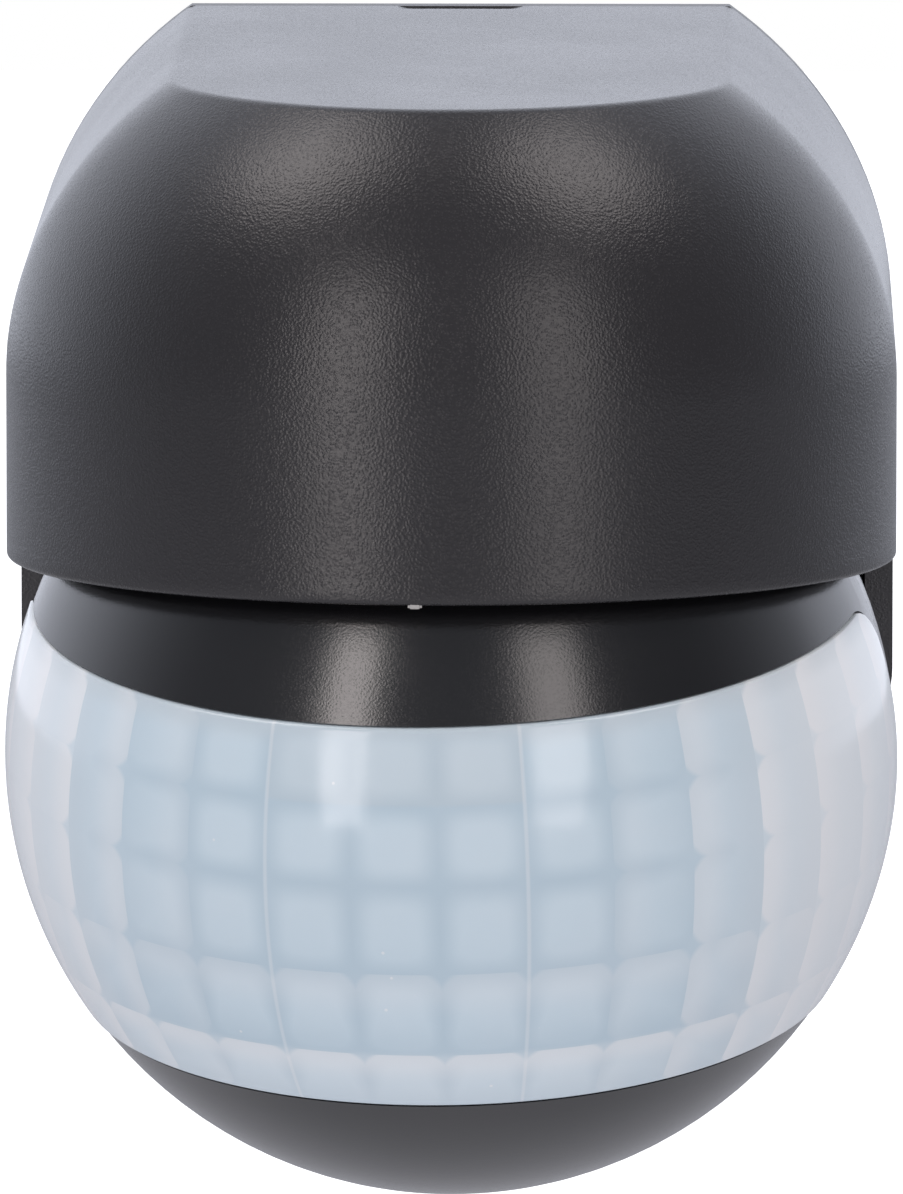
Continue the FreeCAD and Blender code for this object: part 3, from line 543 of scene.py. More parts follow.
def bake_nodes(thing: bpy.types.Object, group: bpy.types.NodeTree,
               sizes: dict[str, object]) -> bpy.types.Object:
    """Run geometry nodes on an object and keep the result as its plain mesh.

    Args:
        thing: the object.
        group: the geometry node tree.
        sizes: the tree's inputs by name.

    Returns:
        The same object, without a modifier.
    """
    modifier = thing.modifiers.new(group.name, "NODES")
    modifier.node_group = group
    for item in group.interface.items_tree:
        if item.in_out == "INPUT" and item.name in sizes:
            modifier[item.identifier] = sizes[item.name]
    graph = bpy.context.evaluated_depsgraph_get()
    graph.update()
    plain = bpy.data.meshes.new_from_object(thing.evaluated_get(graph))
    thing.modifiers.remove(modifier)
    thing.data = plain
    return thing


def to_world(points: np.ndarray) -> np.ndarray:
    """Points in millimetres about the ball's centre, as metres in the frame."""
    return points * MM + np.array(BALL)


def to_head(points: np.ndarray) -> np.ndarray:
    """Points in millimetres in the head's own frame, as metres in the frame of the part."""
    turn = np.array(HEAD.to_3x3())
    return (points * MM) @ turn.T + np.array(BALL)


def smooth_max(first: np.ndarray, second: np.ndarray, width: object) -> np.ndarray:
    """The larger of two fields, with the corner between them rounded.

    Args:
        first: one field.
        second: the other field.
        width: how far the rounding reaches, a number or one for each point.

    Returns:
        The joined field.
    """
    width = np.maximum(width, 1e-6)
    overlap = np.maximum(width - np.abs(first - second), 0.0) / width
    return np.maximum(first, second) + overlap * overlap * width / 4


# ---------------------------------------------------------------- hood
@dataclass
class Hood:
    """The arched hood: upright sides under an elliptical arch, with a round front (millimetres)."""

    half_width: float = 36.0
    wall_reach: float = 40.0
    back: float = 38.4
    bottom: float = 16.0
    rise: float = 41.6
    arch_centre: float = 16.4
    arch_height: float = 32.2
    roof_slope: float = math.radians(3)
    dome_start: float = 15.0
    dome_radius: float = 31.0
    wall: float = 2.0
    rim_radius: float = 0.4
    roof_rounding: float = 0.28
    shoulder_rounding: float = 1.2
    shoulder_start: float = 3.0
    shoulder_fade: float = 12.0
    notch_half: float = 4.5
    notch_depth: float = 0.16
    notch_length: float = 1.6
    notch_soft_side: float = 0.6
    notch_soft_end: float = 0.4
    boss_radius: float = 3.0
    boss_height: float = 8.5
    boss_place: tuple[float, float, float] = (28.0, 31.0, 22.75)
    boss_segments: int = 40
    front_columns: int = 128
    rear_columns: int = 26
    back_steps: tuple[float, ...] = (0.0, 0.12, 0.3)
    notch_margin: float = 0.25
    notch_clear: float = 1.2
    outer_rows: tuple[int, int, int] = (46, 12, 20)
    inner_rows: tuple[int, int, int] = (14, 3, 6)
    edge_spread: float = math.radians(1.2)
    edge_margin: float = 0.12
    edge_lifts: tuple[float, float] = (math.radians(20), math.radians(89))
    edge_steps: int = 30
    ray_length: float = 90.0
    ray_steps: int = 44
    rim_outer: tuple[float, ...] = (25, 50, 75, 90)
    rim_inner: tuple[float, ...] = (90, 60, 30)

    def level(self, place: np.ndarray) -> np.ndarray:
        """How high points lie above the arch's centre, square to the sloping roof.

        Args:
            place: points in millimetres about the ball's centre.

        Returns:
            The heights.
        """
        up = place[..., 2] - self.bottom - self.arch_centre
        far = place[..., 1] - self.wall_reach
        return up * math.cos(self.roof_slope) - far * math.sin(self.roof_slope)

    def outside(self, place: np.ndarray) -> np.ndarray:
        """How far points lie outside the hood's outer form.

        Args:
            place: points in millimetres about the ball's centre, last axis x, y, z.

        Returns:
            The distance, negative inside.
        """
        x, y, z = place[..., 0], place[..., 1], place[..., 2]
        level = self.level(place)
        high = np.maximum(level, 1e-9)
        ratio = np.sqrt((x / self.half_width) ** 2 + (high / self.arch_height) ** 2)
        steep = np.sqrt((x / self.half_width ** 2) ** 2 + (high / self.arch_height ** 2) ** 2)
        round_part = (ratio - 1) * ratio / np.maximum(steep, 1e-9)
        arch = np.where(level > 0, round_part, np.abs(x) - self.half_width)
        reach = np.sqrt(x ** 2 + np.minimum(y, 0) ** 2)
        start = self.bottom + self.dome_start
        middle = self.half_width - self.dome_radius
        cap = np.hypot(np.maximum(reach - middle, 0), z - start) - self.dome_radius
        dome = np.where(z > start, cap, reach - self.half_width)
        dome = np.where(y < 0, dome, -self.half_width)
        blend = np.clip((-y - self.shoulder_start) / self.shoulder_fade, 0, 1)
        side = smooth_max(arch, dome, self.shoulder_rounding * blend)
        inside = self.notch_half + self.notch_soft_side / 2 - np.abs(x)
        behind = y - self.back + self.notch_length + self.notch_soft_end / 2
        dent = (np.clip(inside / self.notch_soft_side, 0, 1)
                * np.clip(behind / self.notch_soft_end, 0, 1))
        roof = level - (self.rise - self.arch_centre) + self.notch_depth * dent
        return smooth_max(side, roof, self.roof_rounding)

    def hits(self, spine: np.ndarray, way: np.ndarray, inset: float) -> np.ndarray:
        """Where rays out of the hood's middle meet its form.

        Args:
            spine: the start of each ray.
            way: the direction of each ray.
            inset: how far inside the outer form the wanted surface lies.

        Returns:
            The points.
        """
        low = np.zeros(way.shape[:-1])
        high = np.full(way.shape[:-1], self.ray_length)
        for _ in range(self.ray_steps):
            middle = (low + high) / 2
            inner = self.outside(spine + way * middle[..., None]) < -inset
            low = np.where(inner, middle, low)
            high = np.where(inner, high, middle)
        return spine + way * low[..., None]

    def columns(self, foot: float) -> tuple[np.ndarray, np.ndarray]:
        """The start and the level direction of each column's rays, from left rear to right rear.

        Args:
            foot: the height of the spine.

        Returns:
            The starts and the directions.
        """
        notch_end = self.back - self.notch_length
        steps = [self.back - step for step in self.back_steps]
        steps += [notch_end + self.notch_margin, notch_end - self.notch_margin]
        steps += list(np.linspace(notch_end - self.notch_clear, 0, self.rear_columns)[:-1])
        turns = np.radians(np.linspace(-90, 90, self.front_columns + 1))
        starts = [(0, y, foot) for y in steps] + [(0, 0, foot)] * len(turns)
        starts += [(0, y, foot) for y in reversed(steps)]
        ways = [(-1, 0, 0)] * len(steps) + [(math.sin(t), -math.cos(t), 0) for t in turns]
        ways += [(1, 0, 0)] * len(steps)
        return np.array(starts, float), np.array(ways, float)

    def surface(self, foot: float, inset: float, rows: tuple[int, int, int]) -> np.ndarray:
        """One surface of the hood as a grid.

        Args:
            foot: the height of its lowest row.
            inset: how far inside the outer form it lies.
            rows: the number of rows below, at and above the roof's edge.

        Returns:
            The points, by column and by row from the foot up.
        """
        starts, ways = self.columns(foot)
        up = np.array((0.0, 0.0, 1.0))
        low, high = (np.full(len(starts), lift) for lift in self.edge_lifts)
        roof = self.rise - self.arch_centre
        for _ in range(self.edge_steps):
            middle = (low + high) / 2
            way = ways * np.cos(middle)[:, None] + up * np.sin(middle)[:, None]
            below = self.level(self.hits(starts, way, inset)) - roof < -inset - self.edge_margin
            low = np.where(below, middle, low)
            high = np.where(below, high, middle)
        edge = low
        spread = self.edge_spread
        share_low = np.linspace(0, 1, rows[0], endpoint=False)
        share_edge = np.linspace(0, 1, rows[1], endpoint=False)
        share_top = np.linspace(0, 1, rows[2])
        lifts = np.concatenate([
            share_low[None, :] * (edge - spread)[:, None],
            (edge - spread)[:, None] + 2 * spread * share_edge[None, :],
            (edge + spread)[:, None] + share_top[None, :] * (math.pi / 2 - edge - spread)[:, None],
        ], axis=1)
        way = (ways[:, None, :] * np.cos(lifts)[..., None] + up * np.sin(lifts)[..., None])
        spine = np.broadcast_to(starts[:, None, :], way.shape)
        return self.hits(spine, way, inset)

    def shell(self) -> bpy.types.Object:
        """The hood's wall with its rounded lower rim.

        Returns:
            The object.
        """
        curve = self.rim_radius
        outer = self.surface(self.bottom + curve, 0.0, self.outer_rows)
        inner = self.surface(self.bottom + curve, self.wall, self.inner_rows)
        toward = inner[:, 0] - outer[:, 0]
        toward = toward / np.linalg.norm(toward, axis=1)[:, None]
        down = np.array((0.0, 0.0, -1.0))
        rim = []
        for start, way, angles in ((outer[:, 0], toward, self.rim_outer),
                                   (inner[:, 0], -toward, self.rim_inner)):
            rim += [start + way * curve * (1 - math.cos(angle)) + down * curve * math.sin(angle)
                    for angle in np.radians(angles)]
        grid = np.concatenate([outer[:, ::-1], np.stack(rim, axis=1), inner], axis=1)
        columns, rows = grid.shape[:2]
        thing = mesh_object("hood_skin", to_world(grid.reshape(-1, 3)), grid_faces(columns, rows))
        return tidy_mesh(thing, close=True)

    def bosses(self) -> list[bpy.types.Object]:
        """The two screw bosses in the hood's rear corners.

        Returns:
            The left and the right boss.
        """
        made = []
        across, back, height = self.boss_place
        for name, side in (("hood_boss_left", -1), ("hood_boss_right", 1)):
            work = bmesh.new()
            bmesh.ops.create_cone(work, cap_ends=True, segments=self.boss_segments,
                                  radius1=self.boss_radius * MM, radius2=self.boss_radius * MM,
                                  depth=self.boss_height * MM)
            mesh = bpy.data.meshes.new(name)
            work.to_mesh(mesh)
            work.free()
            mesh.transform(Matrix.Translation(BALL + Vector((across * side, back, height)) * MM))
            made.append(tidy_mesh(link(name, mesh)))
        return made

    def build(self, material: bpy.types.Material) -> None:
        """Build the hood and put it on the wall base.

        Args:
            material: the housing's plastic.
        """
        finish_piece(self.shell(), "wall_base_set", material, "housing_black", "hood")
        for boss in self.bosses():
            finish_piece(boss, "wall_base_set", material, "housing_black")


# ---------------------------------------------------------------- lens
# The facet coordinates count columns round the band and rows up it. These are the column at the
# band's middle, and how many columns the two seams stand to each side of it.
MIDDLE_COLUMN = 8.5
SEAM_COLUMN = 1.5


@dataclass(frozen=True)
class Milky:
    """The lens's milky polyethylene, with the shade and highlights of its facets painted into its
    colour.
    """

    name: str = "lens_milk"
    middle: tuple[float, float, float] = (0.645, 0.775, 0.85)
    border: tuple[float, float, float] = (0.52, 0.655, 0.74)
    side: tuple[float, float, float] = (0.93, 0.955, 0.96)
    # White of the painted glint on the facets' near sides; the seams and specks use it too.
    painted_glint_seam_speck: tuple[float, float, float] = (0.96, 0.965, 0.965)
    # Grey of the painted shade along the lens's top edge; the middle of the top row is greyed with
    # it too.
    shade: tuple[float, float, float] = (0.60, 0.66, 0.69)
    cloud: tuple[float, float, float] = (0.9, 0.9, 0.92)
    roughness: float = 0.075
    worn_roughness: float = 0.04
    side_share: float = 0.8
    painted_glint_share: float = 0.7
    upper_share: float = 0.28
    top_share: float = 0.5
    tile_share: float = 0.10
    seam_share: float = 0.26
    speck_share: float = 0.5
    speck_cells: float = 230.0
    cloud_share: float = 0.06
    cloud_size: float = 90.0
    grain_cells: float = 420.0
    grain_depth: float = 6e-6
    refraction: float = 1.5

    def make(self) -> bpy.types.Material:
        """Build the material.

        Returns:
            The material.
        """
        material, tree, shader, place = start_material(self.name)
        facets = tree.add("ShaderNodeUVMap", uv_map="facets").outputs["UV"]
        split = tree.add("ShaderNodeSeparateXYZ", {0: facets})
        across, upward = split.outputs["X"], split.outputs["Y"]
        lean = tree.math("SUBTRACT", across, MIDDLE_COLUMN)
        turn = tree.math("ABSOLUTE", lean)
        dark, bright = self.relief(tree, across, upward, lean, turn)
        # Painted shade: the facets' borders and far sides are mixed towards the border colour.
        plain = tree.blend(dark, self.middle + (1.0,), self.border + (1.0,))
        greyed = self.zones(tree, plain, upward, turn)
        # Painted highlight: the facets' near sides and tops are mixed towards white.
        with_painted_glint = tree.blend(tree.math("MULTIPLY", bright, self.painted_glint_share), greyed,
                         self.painted_glint_seam_speck + (1.0,))
        column = tree.add("ShaderNodeVectorMath", {0: facets}, operation="FLOOR").outputs[0]
        tile = tree.add("ShaderNodeTexWhiteNoise", {"Vector": column})
        varied = tree.blend(tree.math("MULTIPLY", tile.outputs["Value"], self.tile_share), with_painted_glint,
                            self.border + (1.0,))
        seam_off = tree.math("ABSOLUTE", tree.math("SUBTRACT", turn, SEAM_COLUMN))
        seam = tree.math("MULTIPLY", tree.ramp(seam_off, 0.035, 0.008), self.seam_share)
        dots = tree.add("ShaderNodeTexVoronoi", {"Vector": place, "Scale": self.speck_cells})
        speck = tree.math("MULTIPLY", tree.ramp(dots.outputs["Distance"], 0.042, 0.02),
                          self.speck_share)
        # The seams and the specks take the same white as the painted glint.
        lined = tree.blend(tree.math("MAXIMUM", seam, speck), varied, self.painted_glint_seam_speck + (1.0,))
        worn = tree.add("ShaderNodeGroup", node_tree=HANDLING)
        tree.feed(worn.inputs["Place"], place)
        tree.feed(worn.inputs["Patch Size"], self.cloud_size)
        patch = worn.outputs["Patch"]
        tree.feed(shader.inputs["Base Color"],
                  tree.blend(tree.math("MULTIPLY", patch, self.cloud_share), lined,
                             self.cloud + (1.0,)))
        grain = tree.add("ShaderNodeGroup", node_tree=GRAIN)
        tree.feed(grain.inputs["Place"], place)
        tree.feed(grain.inputs["Cells"], self.grain_cells)
        bump = tree.add("ShaderNodeBump", {"Height": grain.outputs["Height"], "Strength": 1.0,
                                           "Distance": self.grain_depth})
        tree.feed(shader.inputs["Normal"], bump.outputs["Normal"])
        tree.feed(shader.inputs["Roughness"],
                  tree.ramp(patch, 0.0, 1.0, self.roughness,
                            self.roughness + self.worn_roughness))
        shader.inputs["IOR"].default_value = self.refraction
        return material

    def relief(self, tree: Tree, across: bpy.types.NodeSocket, upward: bpy.types.NodeSocket,
               lean: bpy.types.NodeSocket, turn: bpy.types.NodeSocket,
               ) -> tuple[bpy.types.NodeSocket, bpy.types.NodeSocket]:
        """The painted shade and the painted highlights of the facets' rounded relief.

        In the middle a facet gets painted shade all round its border. To the sides and below it
        gets painted shade on its far side and a painted highlight on its near one, as a pillow
        shows when it is seen from the side.

        Args:
            tree: the node tree.
            across: the facet coordinate round the band.
            upward: the facet coordinate up the band.
            lean: columns from the middle one, positive to the right.
            turn: the same without its sign.

        Returns:
            The share of painted shade and the share of painted highlight.
        """
        off_x = self.from_middle(tree, across)
        off_y = self.from_middle(tree, upward)
        square = self.round_square(tree, off_x, off_y, 4.0)
        circle = self.round_square(tree, off_x, off_y, 2.4)
        toward = tree.math("ABSOLUTE", tree.math("SUBTRACT", tree.math("FRACT", across),
                                                 tree.math("LESS_THAN", lean, 0.0)))
        down = tree.math("SUBTRACT", 1.0, tree.math("FRACT", upward))
        sideways = tree.ramp(turn, 1.7, 5.2)
        lowly = tree.ramp(upward, 3.1, 0.5)
        # Painted shade all round each facet's border, fading towards the sides.
        even = tree.math("MULTIPLY", tree.ramp(square, 0.45, 1.08),
                         tree.math("SUBTRACT", 1.0, tree.math("MULTIPLY", sideways, 0.8)))
        # Painted shade on each facet's far side, and on its lower part in the low rows.
        far_side = tree.math("MULTIPLY", tree.ramp(toward, 0.35, 1.0),
                             tree.math("MULTIPLY", sideways, 0.85))
        far_down = tree.math("MULTIPLY", tree.ramp(down, 0.4, 1.0),
                             tree.math("MULTIPLY", lowly, 0.8))
        dark = tree.math("MAXIMUM", even, tree.math("MAXIMUM", far_side, far_down))
        # Painted highlight on each facet's near side and top, kept off its corners.
        near_side = tree.math("MULTIPLY", tree.ramp(toward, 0.6, 0.0), sideways)
        near_top = tree.math("MULTIPLY", tree.ramp(down, 0.55, 0.0),
                             tree.math("MULTIPLY", lowly, 0.75))
        bright = tree.math("MULTIPLY", tree.math("MAXIMUM", near_side, near_top),
                           tree.ramp(circle, 1.24, 1.08))
        return dark, bright

    def zones(self, tree: Tree, plain: bpy.types.NodeSocket, upward: bpy.types.NodeSocket,
              turn: bpy.types.NodeSocket) -> bpy.types.NodeSocket:
        """Tone the lens as a whole: pale at its sides and foot, greyer in the middle of its top
        row, with painted shade along its top edge.

        Args:
            tree: the node tree.
            plain: the colour of the facets, with their painted shade.
            upward: the facet coordinate up the band.
            turn: columns from the middle one.

        Returns:
            The toned colour.
        """
        outer = tree.math("MAXIMUM", tree.ramp(turn, 3.3, 6.2),
                          tree.math("MULTIPLY", tree.ramp(upward, 1.06, 0.94), 0.3))
        toned = tree.blend(tree.math("MULTIPLY", outer, self.side_share), plain,
                           self.side + (1.0,))
        upper = tree.math("MULTIPLY", tree.math("LESS_THAN", turn, SEAM_COLUMN),
                          tree.ramp(upward, 3.97, 4.04))
        # Painted shade: a grey band along the top edge, under the shell; the top row's middle takes
        # the same grey.
        shade = tree.math("MAXIMUM", tree.math("MULTIPLY", upper, self.upper_share),
                          tree.math("MULTIPLY", tree.ramp(upward, 4.62, 5.0), self.top_share))
        return tree.blend(shade, toned, self.shade + (1.0,))

    def round_square(self, tree: Tree, off_x: bpy.types.NodeSocket, off_y: bpy.types.NodeSocket,
                     power: float) -> bpy.types.NodeSocket:
        """How far out a place lies in its facet, counted in rounded squares.

        Args:
            tree: the node tree.
            off_x: the distance from the facet's middle across.
            off_y: the distance from the facet's middle upwards.
            power: 2 for circles, larger for squarer shapes.

        Returns:
            The measure's socket, 1 at the middle of each border.
        """
        total = tree.math("ADD", tree.math("POWER", off_x, power),
                          tree.math("POWER", off_y, power))
        return tree.math("POWER", total, 1 / power)

    def from_middle(self, tree: Tree, value: bpy.types.NodeSocket) -> bpy.types.NodeSocket:
        """How far a facet coordinate is from its facet's middle, 1 at the border.

        Args:
            tree: the node tree.
            value: the coordinate, whole numbers at the borders.

        Returns:
            The distance's socket.
        """
        doubled = tree.math("MULTIPLY", tree.math("FRACT", value), 2.0)
        return tree.math("ABSOLUTE", tree.math("SUBTRACT", doubled, 1.0))


@dataclass
class Lens:
    """The curved band of the lens with its facets (millimetres and degrees)."""

    radius: float = 36.2
    wall: float = 1.2
    top: float = 13.2
    bottom: float = -19.6
    side: float = 1.8
    corner: float = 5.5
    edge: float = 0.35
    facet_turn: float = 11.2
    facet_rows: tuple[float, ...] = (-32.8, -23.2, -10.6, 1.4, 11.7, 21.4)
    facet_depth: float = 0.45
    edge_steps: tuple[float, ...] = (0, 0.06, 0.14, 0.24, 0.35, 0.7)
    edge_margin: float = 1.0
    half_arc: float = 58.0
    rows: int = 92
    columns: int = 233

    def side_limit(self, height: np.ndarray) -> np.ndarray:
        """Where the lens's side edge lies, with its rounded corners.

        Args:
            height: the height above the ball's centre.

        Returns:
            The distance behind the ball's centre.
        """
        gap = np.minimum(self.top - height, height - self.bottom)
        cut = np.clip(self.corner - gap, 0, self.corner)
        return self.side - self.corner + np.sqrt(np.maximum(self.corner ** 2 - cut ** 2, 0))

    def shell(self) -> bpy.types.Object:
        """The lens as one closed band, with facet coordinates as its texture map.

        Returns:
            The object.
        """
        span = self.top - self.bottom
        near, margin, arc = np.array(self.edge_steps), self.edge_margin, self.half_arc
        heights = np.concatenate([near, np.linspace(margin, span - margin, self.rows),
                                  span - near[::-1]]) + self.bottom
        core = np.linspace(-1 + margin / arc, 1 - margin / arc, self.columns)
        shares = np.concatenate([-1 + near / arc, core, 1 - near[::-1] / arc])
        share, height = np.meshgrid(shares, heights, indexing="ij")
        limit = self.side_limit(height)

        def place(radius: np.ndarray) -> tuple[np.ndarray, np.ndarray]:
            """The points of one surface.

            Args:
                radius: its distance from the ball's centre at each point.

            Returns:
                The points, and their turn round the upright axis.
            """
            level = np.sqrt(radius ** 2 - height ** 2)
            turn = share * np.arccos(np.clip(-limit / level, -1, 1))
            return (np.stack([level * np.sin(turn), -level * np.cos(turn), height], axis=-1), turn)

        gap = np.minimum(np.minimum(self.top - height, height - self.bottom),
                         (1 - np.abs(share)) * arc)
        lack = np.clip(1 - gap / self.edge, 0, 1)
        outer_radius = self.radius - self.edge * (1 - np.sqrt(1 - lack ** 2))
        outer, turn = place(outer_radius)
        inner, inner_turn = place(np.full_like(height, self.radius - self.wall))
        grid = np.concatenate([outer, inner[:, ::-1]], axis=1)
        columns, rows = grid.shape[:2]
        faces = grid_faces(columns, rows, wrap_rows=True)
        half = len(heights)
        for column in (0, columns - 1):
            base = column * rows
            faces += [(base + r, base + r + 1, base + rows - 2 - r, base + rows - 1 - r)
                      for r in range(half - 1)]
        thing = mesh_object("lens_skin", to_head(grid.reshape(-1, 3)), faces)
        turns = np.concatenate([turn, inner_turn[:, ::-1]], axis=1)
        level = np.concatenate([height, height[:, ::-1]], axis=1)
        lat = np.degrees(np.arcsin(level / self.radius))
        across = np.degrees(turns) / self.facet_turn + MIDDLE_COLUMN
        upward = np.interp(lat, self.facet_rows, range(len(self.facet_rows)))
        inside = np.concatenate([np.zeros_like(height), np.ones_like(height)], axis=1)
        self.mark(thing, across.ravel(), upward.ravel(), inside.ravel())
        return tidy_mesh(thing)

    def mark(self, thing: bpy.types.Object, across: np.ndarray, upward: np.ndarray,
             inside: np.ndarray) -> None:
        """Write the facet coordinates on to the mesh.

        Args:
            thing: the lens.
            across: each vertex's facet coordinate round the band.
            upward: each vertex's facet coordinate up the band.
            inside: 1 for each vertex of the inner surface.
        """
        layer = thing.data.uv_layers.new(name="facets")
        ids = np.empty(len(thing.data.loops), int)
        thing.data.loops.foreach_get("vertex_index", ids)
        layer.data.foreach_set("uv", np.stack([across[ids], upward[ids]], axis=1).ravel())
        for name, values in (("across", across), ("upward", upward), ("inside", inside)):
            attribute = thing.data.attributes.new(name, "FLOAT", "POINT")
            attribute.data.foreach_set("value", values.astype(float))

    def pillow_tree(self) -> bpy.types.NodeTree:
        """Geometry nodes that swell each facet of the inner surface into a small lens.

        Returns:
            The node tree.
        """
        group, tree, given = geometry_group("facet_pillows", {"Swell": "Float",
                                                              "Centre": "Vector"})
        domes = []
        for name in ("across", "upward"):
            value = tree.add("GeometryNodeInputNamedAttribute", {"Name": name}, data_type="FLOAT")
            part = tree.math("FRACT", value.outputs["Attribute"])
            off = tree.math("SUBTRACT", tree.math("MULTIPLY", part, 2.0), 1.0)
            domes.append(tree.math("SUBTRACT", 1.0, tree.math("MULTIPLY", off, off)))
        inside = tree.add("GeometryNodeInputNamedAttribute", {"Name": "inside"}, data_type="FLOAT")
        swell = tree.math("MULTIPLY", tree.math("MULTIPLY", domes[0], domes[1]),
                          tree.math("MULTIPLY", inside.outputs["Attribute"], given["Swell"]))
        position = tree.add("GeometryNodeInputPosition").outputs[0]
        inward = tree.add("ShaderNodeVectorMath", {0: given["Centre"], 1: position},
                          operation="SUBTRACT")
        straight = tree.add("ShaderNodeVectorMath", {0: inward.outputs[0]}, operation="NORMALIZE")
        shift = tree.add("ShaderNodeVectorMath", {0: straight.outputs[0]}, operation="SCALE")
        tree.feed(shift.inputs["Scale"], swell)
        moved = tree.add("GeometryNodeSetPosition", {"Geometry": given["Geometry"],
                                                     "Offset": shift.outputs[0]})
        end_group(tree, moved.outputs[0], given["Material"])
        return group

    def build(self, material: bpy.types.Material) -> None:
        """Build the lens and put it in the head.

        Args:
            material: the lens's plastic.
        """
        thing = self.shell()
        bake_nodes(thing, self.pillow_tree(), {"Swell": self.facet_depth * MM,
                                               "Centre": BALL, "Material": material})
        finish_piece(thing, "head", material, "lens_milk", "lens")


# ---------------------------------------------------------------- knobs and gate mark
@dataclass
class Knobs:
    """The three ribbed setting knobs under the ball (millimetres)."""

    names: tuple[str, ...] = ("time_knob", "light_knob", "range_knob")
    ribs: int = 22
    rib_radius: float = 0.2
    bevel: float = 0.35
    rib_sides: int = 12
    rib_span: tuple[float, float] = (0.4, 2.4)
    sides: int = 48
    rim_width: float = 1.3
    lip: float = 0.1
    arrow_width: float = 0.9
    arrow_wing: float = 0.45
    arrow_neck: float = 0.1
    arrow_gap: float = 0.05
    arrow_top: float = 0.12
    arrow_foot: float = 0.02
    dish_depth: float = 0.9

    def rib_tree(self) -> bpy.types.NodeTree:
        """Geometry nodes that stand a ring of ribs round a knob.

        Returns:
            The node tree.
        """
        group, tree, given = geometry_group("knob_ribs", {
            "Count": "Int", "Ring Radius": "Float", "Rib Radius": "Float",
            "Rib Length": "Float", "Middle": "Vector"})
        ring = tree.add("GeometryNodeMeshCircle", {"Vertices": given["Count"],
                                                   "Radius": given["Ring Radius"]})
        rib = tree.add("GeometryNodeMeshCylinder", {"Vertices": self.rib_sides,
                                                    "Radius": given["Rib Radius"],
                                                    "Depth": given["Rib Length"]})
        placed = tree.add("GeometryNodeSetPosition", {"Geometry": ring.outputs[0],
                                                      "Offset": given["Middle"]})
        stood = tree.add("GeometryNodeInstanceOnPoints", {"Points": placed.outputs[0],
                                                          "Instance": rib.outputs[0]})
        joined = tree.add("GeometryNodeJoinGeometry")
        for part in (given["Geometry"], stood.outputs[0]):
            tree.feed(joined.inputs[0], part)
        end_group(tree, joined.outputs[0], given["Material"])
        return group

    def barrel(self, name: str, radius: float, low: float, high: float) -> bpy.types.Object:
        """A knob's body with an arrow that stands in its dished face, which looks down.

        Args:
            name: the piece's name.
            radius: its radius.
            low: the height of its face.
            high: the height of its inner end.

        Returns:
            The object, in the knob's own frame.
        """
        steps, lip, dish = self.sides, self.lip, radius - self.rim_width
        ring = [(dish, low + self.dish_depth), (dish, low + lip), (dish + lip, low),
                (radius - self.bevel, low), (radius, low + self.bevel),
                (radius, high - lip), (radius - lip, high)]
        points = [(r * MM * math.cos(t), r * MM * math.sin(t), z * MM)
                  for t in np.linspace(0, 2 * math.pi, steps, endpoint=False) for r, z in ring]
        rows = len(ring)
        faces = [(c * rows + r, ((c + 1) % steps) * rows + r,
                  ((c + 1) % steps) * rows + r + 1, c * rows + r + 1)
                 for c in range(steps) for r in range(rows - 1)]
        faces.append(tuple(c * rows for c in range(steps)))
        faces.append(tuple(c * rows + rows - 1 for c in range(steps)))
        thing = mesh_object(name, np.array(points), faces)
        self.add_arrow(thing.data, dish - self.arrow_gap, low)
        return thing

    def add_arrow(self, mesh: bpy.types.Mesh, tip: float, low: float) -> None:
        """Stand an arrow in the dish of a knob.

        Args:
            mesh: the knob's mesh.
            tip: how far the arrow reaches from the knob's axis.
            low: the height of the knob's face.
        """
        work = bmesh.new()
        work.from_mesh(mesh)
        half = self.arrow_width / 2
        wing, neck = half + self.arrow_wing, tip * self.arrow_neck
        outline = [(-half, -tip), (half, -tip), (half, neck), (wing, neck), (0, tip),
                   (-wing, neck), (-half, neck)]
        foot, top = low + self.dish_depth + self.arrow_foot, low + self.arrow_top
        lower = [work.verts.new((x * MM, y * MM, foot * MM)) for x, y in outline]
        upper = [work.verts.new((x * MM, y * MM, top * MM)) for x, y in outline]
        work.faces.new(upper)
        for this in range(len(outline)):
            after = (this + 1) % len(outline)
            work.faces.new((lower[this], lower[after], upper[after], upper[this]))
        work.to_mesh(mesh)
        work.free()

    def build(self, material: bpy.types.Material) -> None:
        """Build the knobs and put each on its own body.

        Args:
            material: the knobs' plastic.
        """
        panel = HEAD @ Matrix.Rotation(PANEL_LEAN, 4, "X")
        back = panel.inverted()
        group = self.rib_tree()
        for name in self.names:
            spots = np.array([back @ vertex.co for vertex in frame["nodes"][name].data.vertices])
            low, high = spots.min(0) / MM, spots.max(0) / MM
            radius = (high[0] - low[0]) / 2
            middle = (low + high) / 2
            thing = self.barrel(name + "_ribbed", radius - self.rib_radius, low[2], high[2])
            ribs_low = low[2] + self.rib_span[0]
            ribs_high = min(low[2] + self.rib_span[1], high[2])
            bake_nodes(thing, group, {
                "Count": self.ribs, "Ring Radius": (radius - self.rib_radius) * MM,
                "Rib Radius": self.rib_radius * MM, "Rib Length": (ribs_high - ribs_low) * MM,
                "Middle": (0.0, 0.0, (ribs_low + ribs_high) / 2 * MM), "Material": material})
            shift = Matrix.Translation((middle[0] * MM, middle[1] * MM, 0))
            thing.data.transform(panel @ shift)
            tidy_mesh(thing, merge=1e-6)
            finish_piece(thing, name, material, "knob_grey", name)


